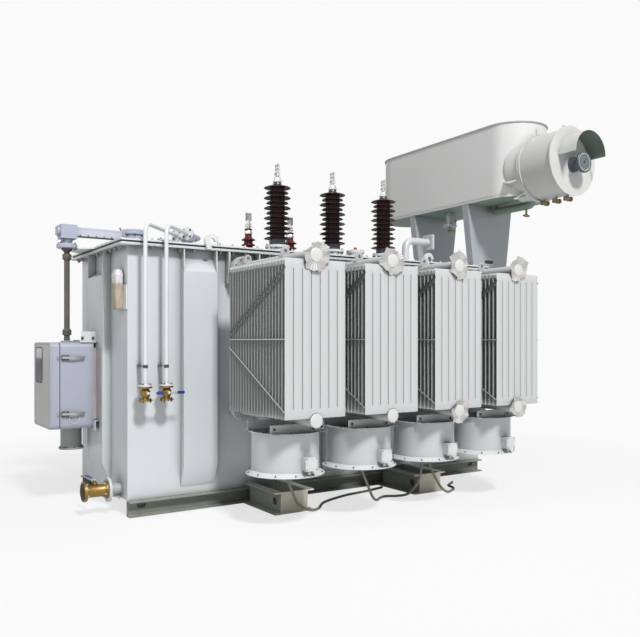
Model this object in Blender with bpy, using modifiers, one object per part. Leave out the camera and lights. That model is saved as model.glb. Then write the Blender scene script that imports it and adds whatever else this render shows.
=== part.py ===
"""Oil-filled power transformer with panel radiators, fans, a tap changer and a conservator.

Metres, +Z up. The pieces are laid out from the middle of the tank, x along its length, y towards
its rear and z up from the ground. One empty carries them all and shifts them in x, so that the
whole object is centred on the world's origin.
"""

import bmesh
import bpy
from math import cos, pi, radians, sin, tan
from mathutils import Matrix, Vector

# Clearances
GAP = 0.0003
SWING_GAP = 0.005

# Skid
BEAM_HEIGHT = 0.125
BEAM_FLANGE = 0.064
BEAM_WALL = 0.012
BEAM_INSET = 0.010
BEAM_HOLE_WIDTH = 0.077
BEAM_HOLE_HEIGHT = 0.046
BEAM_HOLE_FROM_END = 0.12
OUTRIGGER_X = (-0.756, 0.714)
OUTRIGGER_WIDTH = 0.25
OUTRIGGER_HEIGHT = 0.18
OUTRIGGER_REACH = 0.61
OUTRIGGER_FLANGE = 0.06
OUTRIGGER_WALL = 0.012
OUTRIGGER_HOLE_FROM_END = 0.11
LIFT_HOLE_RADIUS = 0.035

# Tank and cover
TANK_LENGTH = 3.90
TANK_WIDTH = 1.30
TANK_WALL_TOP = 2.171
FLANGE_OVERHANG = 0.08
FLANGE_THICKNESS = 0.020
GASKET_THICKNESS = 0.008
GASKET_INSET = 0.012
COVER_THICKNESS = 0.020
STIFFENER_WIDTH = 0.305
STIFFENER_DEPTH = 0.08
STIFFENER_FOOT = 0.188
STIFFENER_TOP = 2.10
STIFFENER_LOW_SLOPE = 0.193
STIFFENER_HIGH_SLOPE = 0.116
END_STIFFENER_WIDTH = 0.448
END_STIFFENER_DEPTH = 0.073
GUSSET_THICKNESS = 0.012
LUG_THICKNESS = 0.025
COVER_HOOK_X = (-1.265, 1.15)
PAD_HALF = 0.12
PAD_REACH = 0.105

# Radiators
RADIATOR_X = (-0.996, -0.291, 0.414, 1.119)
RADIATOR_DISTANCE = 0.424
RADIATOR_DEPTH = 0.876
PANEL_COUNT = 20
PANEL_WIDTH = 0.52
PANEL_THICKNESS = 0.012
PANEL_TAPER = 0.03
PANEL_BITE = 0.0002
HEADER_RADIUS = 0.0445
HEADER_SPACING = 1.20
HEADER_CENTRE = 1.428
HEADER_SIDES = 8
PANEL_SEAT = 0.005
HEADER_OVERHANG = 0.014
VALVE_REACH = 0.15
VALVE_FLANGE_RADIUS = 0.10
VALVE_FLANGE_THICKNESS = 0.022

# Fans
FAN_RADIUS = 0.262
FAN_WALL = 0.006
FAN_HEIGHT = 0.325
FAN_BELOW_HEADER = 0.0635
FAN_BELL_RADIUS = 0.305
FAN_RIM_RADIUS = 0.284
FAN_RIM_THICKNESS = 0.012
FAN_MOTOR_RADIUS = 0.07
FAN_HUB_RADIUS = 0.09
FAN_BLADES = 4
FAN_BLADE_CLEARANCE = 0.012
FAN_RAIL_OFFSET = 0.176
FAN_RAIL_LENGTH = 0.47
FAN_RAIL_THICKNESS = 0.008
FAN_BOX_X = (-0.02, 0.082)
FAN_BOX_REACH = 0.332
FAN_BOX_RISE = (0.051, 0.152)
FAN_BLADE_DROP = 0.155
FAN_MOTOR_LENGTH = 0.19
FAN_ARM_DROP = 0.03
FAN_ARM_HEIGHT = 0.03

# Bushings
TALL_BUSHING_X = (-0.197, 0.472, 1.15)
TALL_BUSHING_SHEDS = 11
TALL_SHED_PITCH = 0.0508
TALL_BASE_RADIUS = 0.12
TALL_COLLAR_RADIUS = 0.098
TALL_BASE_HEIGHT = 0.05
TALL_COLLAR_HEIGHT = 0.166
TALL_FIRST_HEIGHT = 0.2247
TALL_BODY_RADIUS = 0.077
TALL_SHED_RADIUS = 0.135
TALL_SMALL_SHED_RADIUS = 0.112
TALL_STEM_HEIGHT = 0.232
TALL_STEM_RADIUS = 0.016
SHORT_BUSHING_X = (-0.314, 0.19, 0.694)
SHORT_BUSHING_Y = 0.40
SHORT_BODY_RADIUS = 0.0475
SHORT_SHED_RADIUS = 0.073
SHORT_BASE_RADIUS = 0.085
SHORT_BASE_HEIGHT = 0.043
SHORT_FIRST_HEIGHT = 0.1407
SHORT_SHEDS = 3
SHORT_SHED_PITCH = 0.054
SHORT_STEM_HEIGHT = 0.272
SHORT_STEM_RADIUS = 0.018
TERMINAL_HEIGHT = 0.11
TERMINAL_THICKNESS = 0.012
TALL_TERMINAL_WIDTH = 0.08
SHORT_TERMINAL_WIDTH = 0.06

# Cover fittings
RELIEF_VALVE_X = 0.77
RELIEF_VALVE_RADIUS = 0.085
RELIEF_FLANGE_RADIUS = 0.11
RELIEF_VALVE_HEIGHT = 0.1607
RELAY_PIPE_X = 1.466
RELAY_PIPE_RADIUS = 0.04
RELAY_PIPE_HEIGHT = 0.3237
RELAY_PIPE_END = 1.80
RELAY_FLANGE_SIDE = 0.17

# Conservator
CONSERVATOR_X = 2.294
CONSERVATOR_WIDTH = 0.70
CONSERVATOR_LENGTH = 2.38
CONSERVATOR_HEIGHT = 0.774
CONSERVATOR_STEPS = 10
LID_THICKNESS = 0.016
LID_OVERHANG = 0.012
CYLINDER_HEIGHT = 0.295
CYLINDER_RADIUS = 0.332
CYLINDER_REACH = 0.016
CYLINDER_LENGTH = 0.412
CYLINDER_FLANGE = 0.018
CYLINDER_FLANGE_RIM = 0.018
CYLINDER_COCKS = (0.064, 0.214, 0.354)
CYLINDER_COCK_RADIUS = 0.018
CYLINDER_COCK_DROP = 0.057
GAUGE_DROP = 0.039
GAUGE_FLANGE_RADIUS = 0.08
GAUGE_NECK_RADIUS = 0.05
GAUGE_NECK_LENGTH = 0.102
GAUGE_DIAL_RADIUS = 0.105
GAUGE_DIAL_DEPTH = 0.04
HOOD_RADIUS = 0.23
HOOD_RISE = 0.029
HOOD_REACH = 0.214
HOOD_SHEET = 0.004
LEG_Y = 0.45
LEG_DEPTH = 0.10
LEG_TOP_WIDTH = 0.71
LEG_FOOT_WIDTH = 0.516
LEG_HEIGHT = 0.704
SIDE_PIPE_RADIUS = 0.0425
SIDE_PIPE_DROP = 0.067
SIDE_PIPE_Y = (-0.56, -1.10)
OUTLET_Y = 0.05
OUTLET_DROP = 0.162
OUTLET_RADIUS = 0.04
OUTLET_FLANGE_RADIUS = 0.08

# Tap changer and its drive
HEAD_X = -1.60
DRIVE_Y = 0.22
HEAD_RADIUS = 0.20
HEAD_HEIGHT = 0.0857
HEAD_GEAR_HALF = 0.115
STUB_ANGLES = (-45, -10)
STUB_HEIGHT = 0.0527
STUB_RUNS = (0.20, 0.32)
SPARE_STUB_BEND = 0.28
SPARE_STUB_REACH = 0.09
STUB_RADIUS = 0.022
STUB_FLANGE_RADIUS = 0.05
STUB_FLANGE_THICKNESS = 0.014
GUARD_RISE = 0.1507
GUARD_HEIGHT = 0.08
SHAFT_DISTANCE = 0.251
SHAFT_RADIUS = 0.028
COUPLING_RADIUS = 0.044
COUPLING_HEIGHT = 0.09
BEVEL_SIDE = 0.15
HOUSING_DISTANCE = 0.106
HOUSING_DEPTH = 0.274
HOUSING_NEAR = -0.075
HOUSING_FAR = 0.52
HOUSING_LOW = 0.6625
HOUSING_HIGH = 1.396
HOUSING_WALL = 0.008
MECHANISM_MARGIN = 0.10
MECHANISM_PLATE = 0.02
MECHANISM_MOTOR_DEPTH = 0.15
MECHANISM_MOTOR_WIDTH = 0.24
MECHANISM_MOTOR_HEIGHT = 0.23
MECHANISM_SHAFT_OFFSET = 0.09
MECHANISM_DRUM_LENGTH = 0.21
MECHANISM_RAIL_HEIGHT = 0.06
DOOR_THICKNESS = 0.076
HINGE_RADIUS = 0.009
HINGE_PIN_RADIUS = 0.004
HINGE_PIN_CLEARANCE = 0.0005
HINGE_OFFSET = 0.017
HINGE_HEIGHT = 0.04
HINGE_Z = (0.80, 1.26)
DUCT_DISTANCE = 0.215
DUCT_RADIUS = 0.09
DUCT_FLANGE_RADIUS = 0.105
DUCT_LOW = 0.46

# Oil pipes and valves
OIL_PIPE_X = (-1.856, -1.681)
OIL_PIPE_REACH = 0.15
OIL_PIPE_RADIUS = 0.017
OIL_PIPE_TOP = 2.34
OIL_VALVE_LOW = 0.932
OIL_VALVE_HIGH = 1.059
OIL_FLANGE_RADIUS = 0.055
OIL_FLANGE_THICKNESS = 0.014
OIL_CLAMP_Z = 1.205
OIL_PIPE_BEND = 0.09
OIL_RUN_ANGLE = 47.5
OIL_RUN_LENGTHS = (0.713, 0.497)
PIPE_LEVER_LENGTH = 0.15
LEVER_WIDTH = 0.02
LEVER_THICKNESS = 0.004
DRAIN_INSET = 0.187
DRAIN_Z = 0.20
DRAIN_STUB_RADIUS = 0.0445
DRAIN_FLANGE_RADIUS = 0.10
DRAIN_STUB_LENGTH = 0.11
DRAIN_VALVE_LENGTH = 0.174
DRAIN_VALVE_FLANGE = 0.07
DRAIN_LEVER_LENGTH = 0.25

# Wrapped instrument
INSTRUMENT_INSET = 0.125
INSTRUMENT_LOW = 1.645
INSTRUMENT_HIGH = 1.986
INSTRUMENT_WIDTH = 0.11
INSTRUMENT_DEPTH = 0.075

# Fan cables
CABLE_RADIUS = 0.011
CABLE_REST = CABLE_RADIUS + 0.0005

# Worked out from the sizes above
TANK_LOW = BEAM_HEIGHT + GAP
FLANGE_TOP = TANK_WALL_TOP + FLANGE_THICKNESS
COVER_LOW = FLANGE_TOP + GAP + GASKET_THICKNESS
COVER_TOP = COVER_LOW + COVER_THICKNESS
ON_COVER = COVER_TOP + GAP
TANK_END = TANK_LENGTH / 2
TANK_SIDE = TANK_WIDTH / 2
COVER_END = TANK_END + FLANGE_OVERHANG
COVER_SIDE = TANK_SIDE + FLANGE_OVERHANG
RADIATOR_BACK = TANK_SIDE + RADIATOR_DISTANCE
RADIATOR_FRONT = RADIATOR_BACK + RADIATOR_DEPTH
VALVE_DISTANCE = TANK_SIDE + VALVE_REACH
FAN_CENTRE = (RADIATOR_BACK + RADIATOR_FRONT) / 2
OIL_PIPE_Y = -TANK_SIDE - OIL_PIPE_REACH
STIFFENER_PITCH = RADIATOR_X[1] - RADIATOR_X[0]
STIFFENER_X = [RADIATOR_X[0] + STIFFENER_PITCH * (step - 0.5) for step in range(5)]
HEADER_Z = (HEADER_CENTRE - HEADER_SPACING / 2, HEADER_CENTRE + HEADER_SPACING / 2)
FAN_HIGH = HEADER_Z[0] - HEADER_RADIUS - FAN_BELOW_HEADER
FAN_LOW = FAN_HIGH - FAN_HEIGHT
HEADER_FLAT = HEADER_RADIUS * cos(pi / HEADER_SIDES)
PANEL_PEAKS = (HEADER_Z[0] + HEADER_FLAT - PANEL_BITE, HEADER_Z[1] - HEADER_FLAT + PANEL_BITE)
PANEL_DROP = PANEL_TAPER * (PANEL_WIDTH / 2 - PANEL_SEAT)
PANEL_LOW, PANEL_HIGH = PANEL_PEAKS[0] + PANEL_DROP, PANEL_PEAKS[1] - PANEL_DROP
TALL_FIRST_SHED = COVER_TOP + TALL_FIRST_HEIGHT
TALL_TIP = TALL_FIRST_SHED + TALL_SHED_PITCH * (TALL_BUSHING_SHEDS - 1) + TALL_STEM_HEIGHT
SHORT_FIRST_SHED = COVER_TOP + SHORT_FIRST_HEIGHT
SHORT_TIP = SHORT_FIRST_SHED + SHORT_SHED_PITCH * (SHORT_SHEDS - 1) + SHORT_STEM_HEIGHT
RELIEF_VALVE_TOP = COVER_TOP + RELIEF_VALVE_HEIGHT
RELAY_PIPE_AXIS = COVER_TOP + RELAY_PIPE_HEIGHT
LEG_FOOT = COVER_TOP + 0.0007
CONSERVATOR_LOW = LEG_FOOT + LEG_HEIGHT
CONSERVATOR_HIGH = CONSERVATOR_LOW + CONSERVATOR_HEIGHT
CYLINDER_AXIS = CONSERVATOR_LOW + CYLINDER_HEIGHT
CYLINDER_NEAR = CONSERVATOR_LENGTH / 2 + CYLINDER_REACH
CYLINDER_FAR = CYLINDER_NEAR + CYLINDER_LENGTH
GAUGE_AXIS = CYLINDER_AXIS - GAUGE_DROP
GAUGE_DIAL_BACK = CYLINDER_FAR + GAUGE_NECK_LENGTH
GAUGE_DIAL_FRONT = GAUGE_DIAL_BACK + GAUGE_DIAL_DEPTH
HOOD_AXIS = CYLINDER_AXIS + HOOD_RISE
HOOD_FRONT = CYLINDER_FAR + HOOD_REACH
SIDE_PIPE_AXIS = CONSERVATOR_LOW - SIDE_PIPE_DROP
HEAD_TOP = COVER_TOP + HEAD_HEIGHT
STUB_AXIS = COVER_TOP + STUB_HEIGHT
GUARD_AXIS = COVER_TOP + GUARD_RISE
SHAFT_X = -TANK_END - SHAFT_DISTANCE
HOUSING_BACK = -TANK_END - HOUSING_DISTANCE
HOUSING_FRONT = HOUSING_BACK - HOUSING_DEPTH
DUCT_X = -TANK_END - DUCT_DISTANCE
DRAIN_Y = DRAIN_INSET - TANK_SIDE
DRAIN_FLANGE_X = -TANK_END - DRAIN_STUB_LENGTH
DRAIN_END = DRAIN_FLANGE_X - DRAIN_VALVE_LENGTH
GLAND_Z = FAN_HIGH - FAN_ARM_DROP - FAN_ARM_HEIGHT - FAN_MOTOR_LENGTH - GAP
DOOR_BACK = HOUSING_FRONT - SWING_GAP
DOOR_FRONT = DOOR_BACK - DOOR_THICKNESS
LID_SIDE = CONSERVATOR_X + CONSERVATOR_WIDTH / 2 + LID_OVERHANG
MIDDLE_X = (DOOR_FRONT + LID_SIDE) / 2

PAINT = {
    "tank_paint": ((0.60, 0.63, 0.65), 0.42, 0.0),
    "radiator_paint": ((0.72, 0.73, 0.73), 0.45, 0.0),
    "fan_paint": ((0.62, 0.66, 0.68), 0.45, 0.0),
    "skid_paint": ((0.42, 0.43, 0.42), 0.55, 0.0),
    "brown_porcelain": ((0.05, 0.022, 0.02), 0.18, 0.0),
    "red_porcelain": ((0.16, 0.03, 0.03), 0.2, 0.0),
    "cover_fittings": ((0.66, 0.68, 0.70), 0.4, 0.0),
    "drive_paint": ((0.50, 0.51, 0.58), 0.4, 0.0),
    "drive_shaft": ((0.10, 0.08, 0.07), 0.5, 0.3),
    "brass": ((0.60, 0.38, 0.12), 0.35, 1.0),
    "lever_blue": ((0.02, 0.10, 0.55), 0.4, 0.0),
    "gauge_dark": ((0.05, 0.06, 0.07), 0.35, 0.0),
    "wrapping_paper": ((0.48, 0.38, 0.26), 0.8, 0.0),
    "cable_grey": ((0.30, 0.31, 0.31), 0.6, 0.0),
}

UP = Vector((0, 0, 1))


def clear_scene():
    """Removes every object of the scene, the starting cube with them."""
    for thing in list(bpy.data.objects):
        bpy.data.objects.remove(thing, do_unlink=True)


def new_collection(name):
    made = bpy.data.collections.new(name)
    bpy.context.scene.collection.children.link(made)
    return made


def paint(name):
    """The material of that name, made the first time it is asked for."""
    found = bpy.data.materials.get(name)
    if found:
        return found
    colour, roughness, metallic = PAINT[name]
    made = bpy.data.materials.new(name)
    made.use_nodes = True
    shader = made.node_tree.nodes["Principled BSDF"]
    shader.inputs["Base Color"].default_value = (*colour, 1.0)
    shader.inputs["Roughness"].default_value = roughness
    shader.inputs["Metallic"].default_value = metallic
    return made


def blank(shape):
    """A loose object in the workshop, made from a bmesh or a mesh, for fusing into a piece."""
    if isinstance(shape, bmesh.types.BMesh):
        mesh = bpy.data.meshes.new("blank")
        shape.to_mesh(mesh)
        shape.free()
    else:
        mesh = shape
    made = bpy.data.objects.new("blank", mesh)
    workshop.objects.link(made)
    return made


def baked(thing):
    """Replaces an object's data by its evaluated mesh, with doubles merged, and returns the blank."""
    bpy.context.view_layer.update()
    graph = bpy.context.evaluated_depsgraph_get()
    mesh = bpy.data.meshes.new_from_object(thing.evaluated_get(graph))
    mesh.transform(thing.matrix_world)
    bpy.data.objects.remove(thing, do_unlink=True)
    shape = bmesh.new()
    shape.from_mesh(mesh)
    bmesh.ops.remove_doubles(shape, verts=shape.verts, dist=0.00001)
    return blank(shape)


def block(low, high):
    """A box between two corners."""
    shape = bmesh.new()
    bmesh.ops.create_cube(shape, size=1.0)
    size = [b - a for a, b in zip(low, high)]
    middle = [(a + b) / 2 for a, b in zip(low, high)]
    bmesh.ops.scale(shape, vec=size, verts=shape.verts)
    bmesh.ops.translate(shape, vec=middle, verts=shape.verts)
    return blank(shape)


def rod(start, end, radius, sides=12, end_radius=None):
    """A cylinder, or a cone, between two points."""
    start, end = Vector(start), Vector(end)
    shape = bmesh.new()
    bmesh.ops.create_cone(
        shape, cap_ends=True, segments=sides, radius1=radius,
        radius2=radius if end_radius is None else end_radius, depth=(end - start).length,
    )
    turn = UP.rotation_difference(end - start).to_matrix().to_4x4()
    half_side = Matrix.Rotation(pi / sides, 4, "Z")
    place = Matrix.Translation((start + end) / 2) @ turn @ half_side
    bmesh.ops.transform(shape, matrix=place, verts=shape.verts)
    return blank(shape)


# How an outline's plane lies: the directions of its two coordinates and of its thickness.
PLANES = {
    "XY": Matrix(((1, 0, 0), (0, 1, 0), (0, 0, 1))),
    "XZ": Matrix(((1, 0, 0), (0, 0, -1), (0, 1, 0))),
    "YZ": Matrix(((0, 0, 1), (1, 0, 0), (0, 1, 0))),
}


def slab(outline, plane, near, far):
    """A flat outline in the XY, XZ or YZ plane, given thickness from near to far on the third axis."""
    curve = bpy.data.curves.new("outline", "CURVE")
    curve.dimensions = "2D"
    curve.fill_mode = "BOTH"
    curve.extrude = abs(far - near) / 2
    spline = curve.splines.new("POLY")
    spline.points.add(len(outline) - 1)
    for point, (a, b) in zip(spline.points, outline):
        point.co = (a, b, 0, 1)
    spline.use_cyclic_u = True
    thing = bpy.data.objects.new("outline", curve)
    workshop.objects.link(thing)
    turn = PLANES[plane]
    third = turn @ Vector((0, 0, 1))
    side = 1 if sum(third) > 0 else -1
    thing.matrix_world = Matrix.Translation(third * side * (near + far) / 2) @ turn.to_4x4()
    return baked(thing)


def obround(x, y, width, length, steps):
    """The outline of a long hole or plate round the point x, y: two half circles joined by straight sides."""
    across = width > length
    radius = min(width, length) / 2
    straight = max(width, length) / 2 - radius
    points = []
    for start, middle in ((0, straight), (pi, -straight)):
        for step in range(steps + 1):
            angle = start + pi * step / steps
            side, ahead = radius * cos(angle), middle + radius * sin(angle)
            points.append((x + ahead, y - side) if across else (x + side, y + ahead))
    return points


def turned(profile, steps=12, at=(0, 0, 0), along=UP):
    """A profile of (radius, height) points turned round an axis. It runs down the outer side."""
    mesh = bpy.data.meshes.new("profile")
    points = [(radius, 0, height) for radius, height in profile]
    closed = profile[0][0] > 0
    count = len(points)
    edges = [(i, (i + 1) % count) for i in range(count if closed else count - 1)]
    mesh.from_pydata(points, edges, [])
    thing = blank(mesh)
    screw = thing.modifiers.new("turn", "SCREW")
    screw.steps = screw.render_steps = steps
    screw.use_merge_vertices = True
    screw.merge_threshold = 0.0001
    turn = UP.rotation_difference(Vector(along)).to_matrix().to_4x4()
    thing.matrix_world = Matrix.Translation(at) @ turn
    return baked(thing)


def rounded_path(corners, radius, steps=4):
    """The corners of a path, each inner one replaced by an arc that touches both its runs."""
    path = [Vector(corners[0])]
    for before, corner, after in zip(corners, corners[1:], corners[2:]):
        before, corner, after = Vector(before), Vector(corner), Vector(after)
        back = (before - corner).normalized()
        ahead = (after - corner).normalized()
        half = back.angle(ahead) / 2
        reach = min(radius / tan(half), 0.49 * (before - corner).length, 0.49 * (after - corner).length)
        first, last = corner + back * reach, corner + ahead * reach
        centre = corner + (back + ahead).normalized() * reach / cos(half)
        for step in range(steps + 1):
            share = step / steps
            spoke = (first - centre).lerp(last - centre, share)
            path.append(centre + spoke.normalized() * (first - centre).length)
    path.append(Vector(corners[-1]))
    return path


def pipe(path, radius, resolution=2):
    """A round bar or pipe along a path of points."""
    curve = bpy.data.curves.new("path", "CURVE")
    curve.dimensions = "3D"
    curve.bevel_depth = radius
    curve.bevel_resolution = resolution
    curve.use_fill_caps = True
    spline = curve.splines.new("POLY")
    spline.points.add(len(path) - 1)
    for point, place in zip(spline.points, path):
        point.co = (*place, 1)
    thing = bpy.data.objects.new("path", curve)
    workshop.objects.link(thing)
    return baked(thing)


def carve(body, others, operation):
    """Adds one exact Boolean for each of the others, bakes them and removes the others."""
    for other in others:
        change = body.modifiers.new("fuse", "BOOLEAN")
        change.operation = operation
        change.solver = "EXACT"
        change.object = other
    body = baked(body)
    for other in others:
        bpy.data.objects.remove(other, do_unlink=True)
    return body


def piece(name, slot, blanks, cutters=(), origin=(0, 0, 0)):
    """Fuses the blanks, takes the cutters away, and makes the named piece with its origin there."""
    body = blanks[0]
    if len(blanks) > 1:
        body = carve(body, blanks[1:], "UNION")
    if cutters:
        body = carve(body, cutters, "DIFFERENCE")
    mesh = body.data
    mesh.transform(Matrix.Translation(-Vector(origin)))
    bpy.data.objects.remove(body, do_unlink=True)
    mesh.name = name
    mesh.materials.clear()
    mesh.materials.append(paint(slot))
    mesh.shade_smooth()
    mesh.set_sharp_from_angle(angle=radians(32))
    made = bpy.data.objects.new(name, mesh)
    made.location = origin
    made.parent = carrier
    parts.objects.link(made)
    return made


def copy_of(source, name, location, quarter_turns=0):
    """Another object with the same mesh, moved and turned about +Z."""
    made = bpy.data.objects.new(name, source.data)
    made.location = location
    made.rotation_euler.z = quarter_turns * pi / 2
    made.parent = carrier
    parts.objects.link(made)
    return made


def outrigger_outline():
    """One channel of an outrigger seen from its end, open outwards: distance from the middle, and height."""
    web = OUTRIGGER_WIDTH / 2
    inner, lip = web - OUTRIGGER_WALL, web + OUTRIGGER_FLANGE
    low, high = OUTRIGGER_WALL, OUTRIGGER_HEIGHT - OUTRIGGER_WALL
    return [(inner, 0), (lip, 0), (lip, low), (web, low), (web, high), (lip, high), (lip, OUTRIGGER_HEIGHT),
            (inner, OUTRIGGER_HEIGHT)]


def make_skid():
    """Channel beams under the tank's long edges, and outriggers of two channels and two end plates."""
    web = TANK_SIDE - BEAM_INSET
    inner, lip = web - BEAM_WALL, web + BEAM_FLANGE
    top = BEAM_HEIGHT - BEAM_WALL
    channel = [
        (inner, 0), (lip, 0), (lip, BEAM_WALL), (web, BEAM_WALL), (web, top), (lip, top),
        (lip, BEAM_HEIGHT), (inner, BEAM_HEIGHT),
    ]
    hole_x = TANK_END - BEAM_HOLE_FROM_END
    for name, side in (("front", -1), ("rear", 1)):
        outline = [(side * y, z) for y, z in channel]
        ys = sorted((side * (inner - 0.01), side * (web + 0.01)))
        holes = [
            slab(obround(x, BEAM_HEIGHT / 2 + 0.02, BEAM_HOLE_WIDTH, BEAM_HOLE_HEIGHT, 4), "XZ", *ys)
            for x in (-hole_x, hole_x)
        ]
        beam = slab(outline, "YZ", -TANK_END, TANK_END)
        piece(f"skid_beam_{name}", "skid_paint", [beam], holes)
    for place, x in zip(("left", "right"), OUTRIGGER_X):
        for name, side in (("front", -1), ("rear", 1)):
            near = TANK_SIDE - BEAM_INSET + BEAM_FLANGE + GAP
            far = TANK_SIDE + OUTRIGGER_REACH
            ys = sorted((side * near, side * far))
            channels = [slab([(x + way * a, z) for a, z in outrigger_outline()], "XZ", *ys) for way in (-1, 1)]
            half = OUTRIGGER_WIDTH / 2 - OUTRIGGER_WALL / 2
            plates = [block((x - half, min(y, y - side * OUTRIGGER_WALL), 0),
                            (x + half, max(y, y - side * OUTRIGGER_WALL), OUTRIGGER_HEIGHT - 0.002))
                      for y in (side * (near + OUTRIGGER_WALL + 0.002), side * (far - 0.002))]
            hole_y = side * (far - OUTRIGGER_HOLE_FROM_END)
            hole = rod((x - half - 0.02, hole_y, OUTRIGGER_HEIGHT / 2),
                       (x + half + 0.02, hole_y, OUTRIGGER_HEIGHT / 2), LIFT_HOLE_RADIUS, 10)
            piece(f"outrigger_{place}_{name}", "skid_paint", channels + plates, [hole])


def rim_outline(overhang):
    """The tank's rim in plan, with the pad on the left end that carries the bevel gear."""
    end, side = TANK_END + overhang, TANK_SIDE + overhang
    return [
        (-end, -side), (end, -side), (end, side), (-end, side),
        (-end, DRIVE_Y + PAD_HALF + PAD_REACH), (-end - PAD_REACH, DRIVE_Y + PAD_HALF),
        (-end - PAD_REACH, DRIVE_Y - PAD_HALF), (-end, DRIVE_Y - PAD_HALF - PAD_REACH),
    ]


def stiffener(plane, wall, depth, low, high):
    """A box stiffener on a wall: sloped at foot and head, with a gusset at each side of its head."""
    out = 1 if wall > 0 else -1
    inner, outer = wall - 0.01 * out, wall + depth * out
    beyond = wall + 1.5 * depth * out
    box_outline = [
        (inner, STIFFENER_FOOT), (wall, STIFFENER_FOOT), (outer, STIFFENER_FOOT + STIFFENER_LOW_SLOPE),
        (outer - 0.006 * out, TANK_WALL_TOP + 0.001), (inner, TANK_WALL_TOP + 0.001),
    ]
    pocket_outline = [
        (wall - depth * out, STIFFENER_TOP + STIFFENER_HIGH_SLOPE),
        (beyond, STIFFENER_TOP - 1.5 * STIFFENER_HIGH_SLOPE),
        (beyond, TANK_WALL_TOP + 0.2), (wall - depth * out, TANK_WALL_TOP + 0.2),
    ]
    pocket = slab(pocket_outline, plane, low + GUSSET_THICKNESS, high - GUSSET_THICKNESS)
    return carve(slab(box_outline, plane, low, high), [pocket], "DIFFERENCE")


def make_tank():
    """The welded tank with its rim, box stiffeners, radiator stubs and conservator brackets."""
    blanks = [
        block((-TANK_END, -TANK_SIDE, TANK_LOW), (TANK_END, TANK_SIDE, TANK_WALL_TOP + 0.001)),
        slab(rim_outline(FLANGE_OVERHANG), "XY", TANK_WALL_TOP, FLANGE_TOP),
    ]
    half = STIFFENER_WIDTH / 2
    for wall in (-TANK_SIDE, TANK_SIDE):
        for x in STIFFENER_X:
            blanks.append(stiffener("YZ", wall, STIFFENER_DEPTH, x - half, x + half))
    half = END_STIFFENER_WIDTH / 2
    for wall in (-TANK_END, TANK_END):
        blanks.append(stiffener("XZ", wall, END_STIFFENER_DEPTH, -half, half))
    for side in (-1, 1):
        for x in RADIATOR_X:
            for z in HEADER_Z:
                blanks.append(rod((x, side * (TANK_SIDE - 0.01), z), (x, side * (VALVE_DISTANCE - 0.005), z),
                                  HEADER_RADIUS, 8))
                blanks.append(rod((x, side * (VALVE_DISTANCE - VALVE_FLANGE_THICKNESS), z),
                                  (x, side * VALVE_DISTANCE, z), VALVE_FLANGE_RADIUS, 8))
    leg_half = LEG_DEPTH / 2
    bracket_end = CONSERVATOR_X + LEG_FOOT_WIDTH / 2 + 0.008
    bracket_top = LEG_FOOT - GAP
    bracket = [
        (TANK_END - 0.01, 1.70), (TANK_END + 0.04, 1.70), (bracket_end, 2.06), (bracket_end, bracket_top),
        (COVER_END + 0.004, bracket_top), (COVER_END + 0.004, TANK_WALL_TOP + 0.01),
        (TANK_END - 0.01, TANK_WALL_TOP + 0.01),
    ]
    for y in (-LEG_Y, LEG_Y):
        blanks.append(slab(bracket, "XZ", y - leg_half, y + leg_half))
    piece("tank", "tank_paint", blanks)


def make_cover():
    """The bolted cover: a plate on an inset gasket step, with two lifting hooks on each long side."""
    plate = slab(rim_outline(FLANGE_OVERHANG), "XY", COVER_LOW, COVER_TOP)
    step = slab(rim_outline(FLANGE_OVERHANG - GASKET_INSET), "XY", FLANGE_TOP + GAP, COVER_LOW + 0.001)
    blanks = [plate, step]
    holes = []
    hook_y = COVER_SIDE - 0.035
    for x in COVER_HOOK_X:
        for side in (-1, 1):
            low = sorted((side * (hook_y - LUG_THICKNESS / 2), side * (hook_y + LUG_THICKNESS / 2)))
            outline = [(x - 0.05, COVER_TOP - 0.005), (x + 0.05, COVER_TOP - 0.005), (x + 0.035, COVER_TOP + 0.075),
                       (x - 0.035, COVER_TOP + 0.075)]
            blanks.append(slab(outline, "XZ", low[0], low[1]))
            holes.append(rod((x, low[0] - 0.01, COVER_TOP + 0.045), (x, low[1] + 0.01, COVER_TOP + 0.045), 0.015, 8))
    piece("tank_cover", "tank_paint", blanks, holes)


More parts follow.
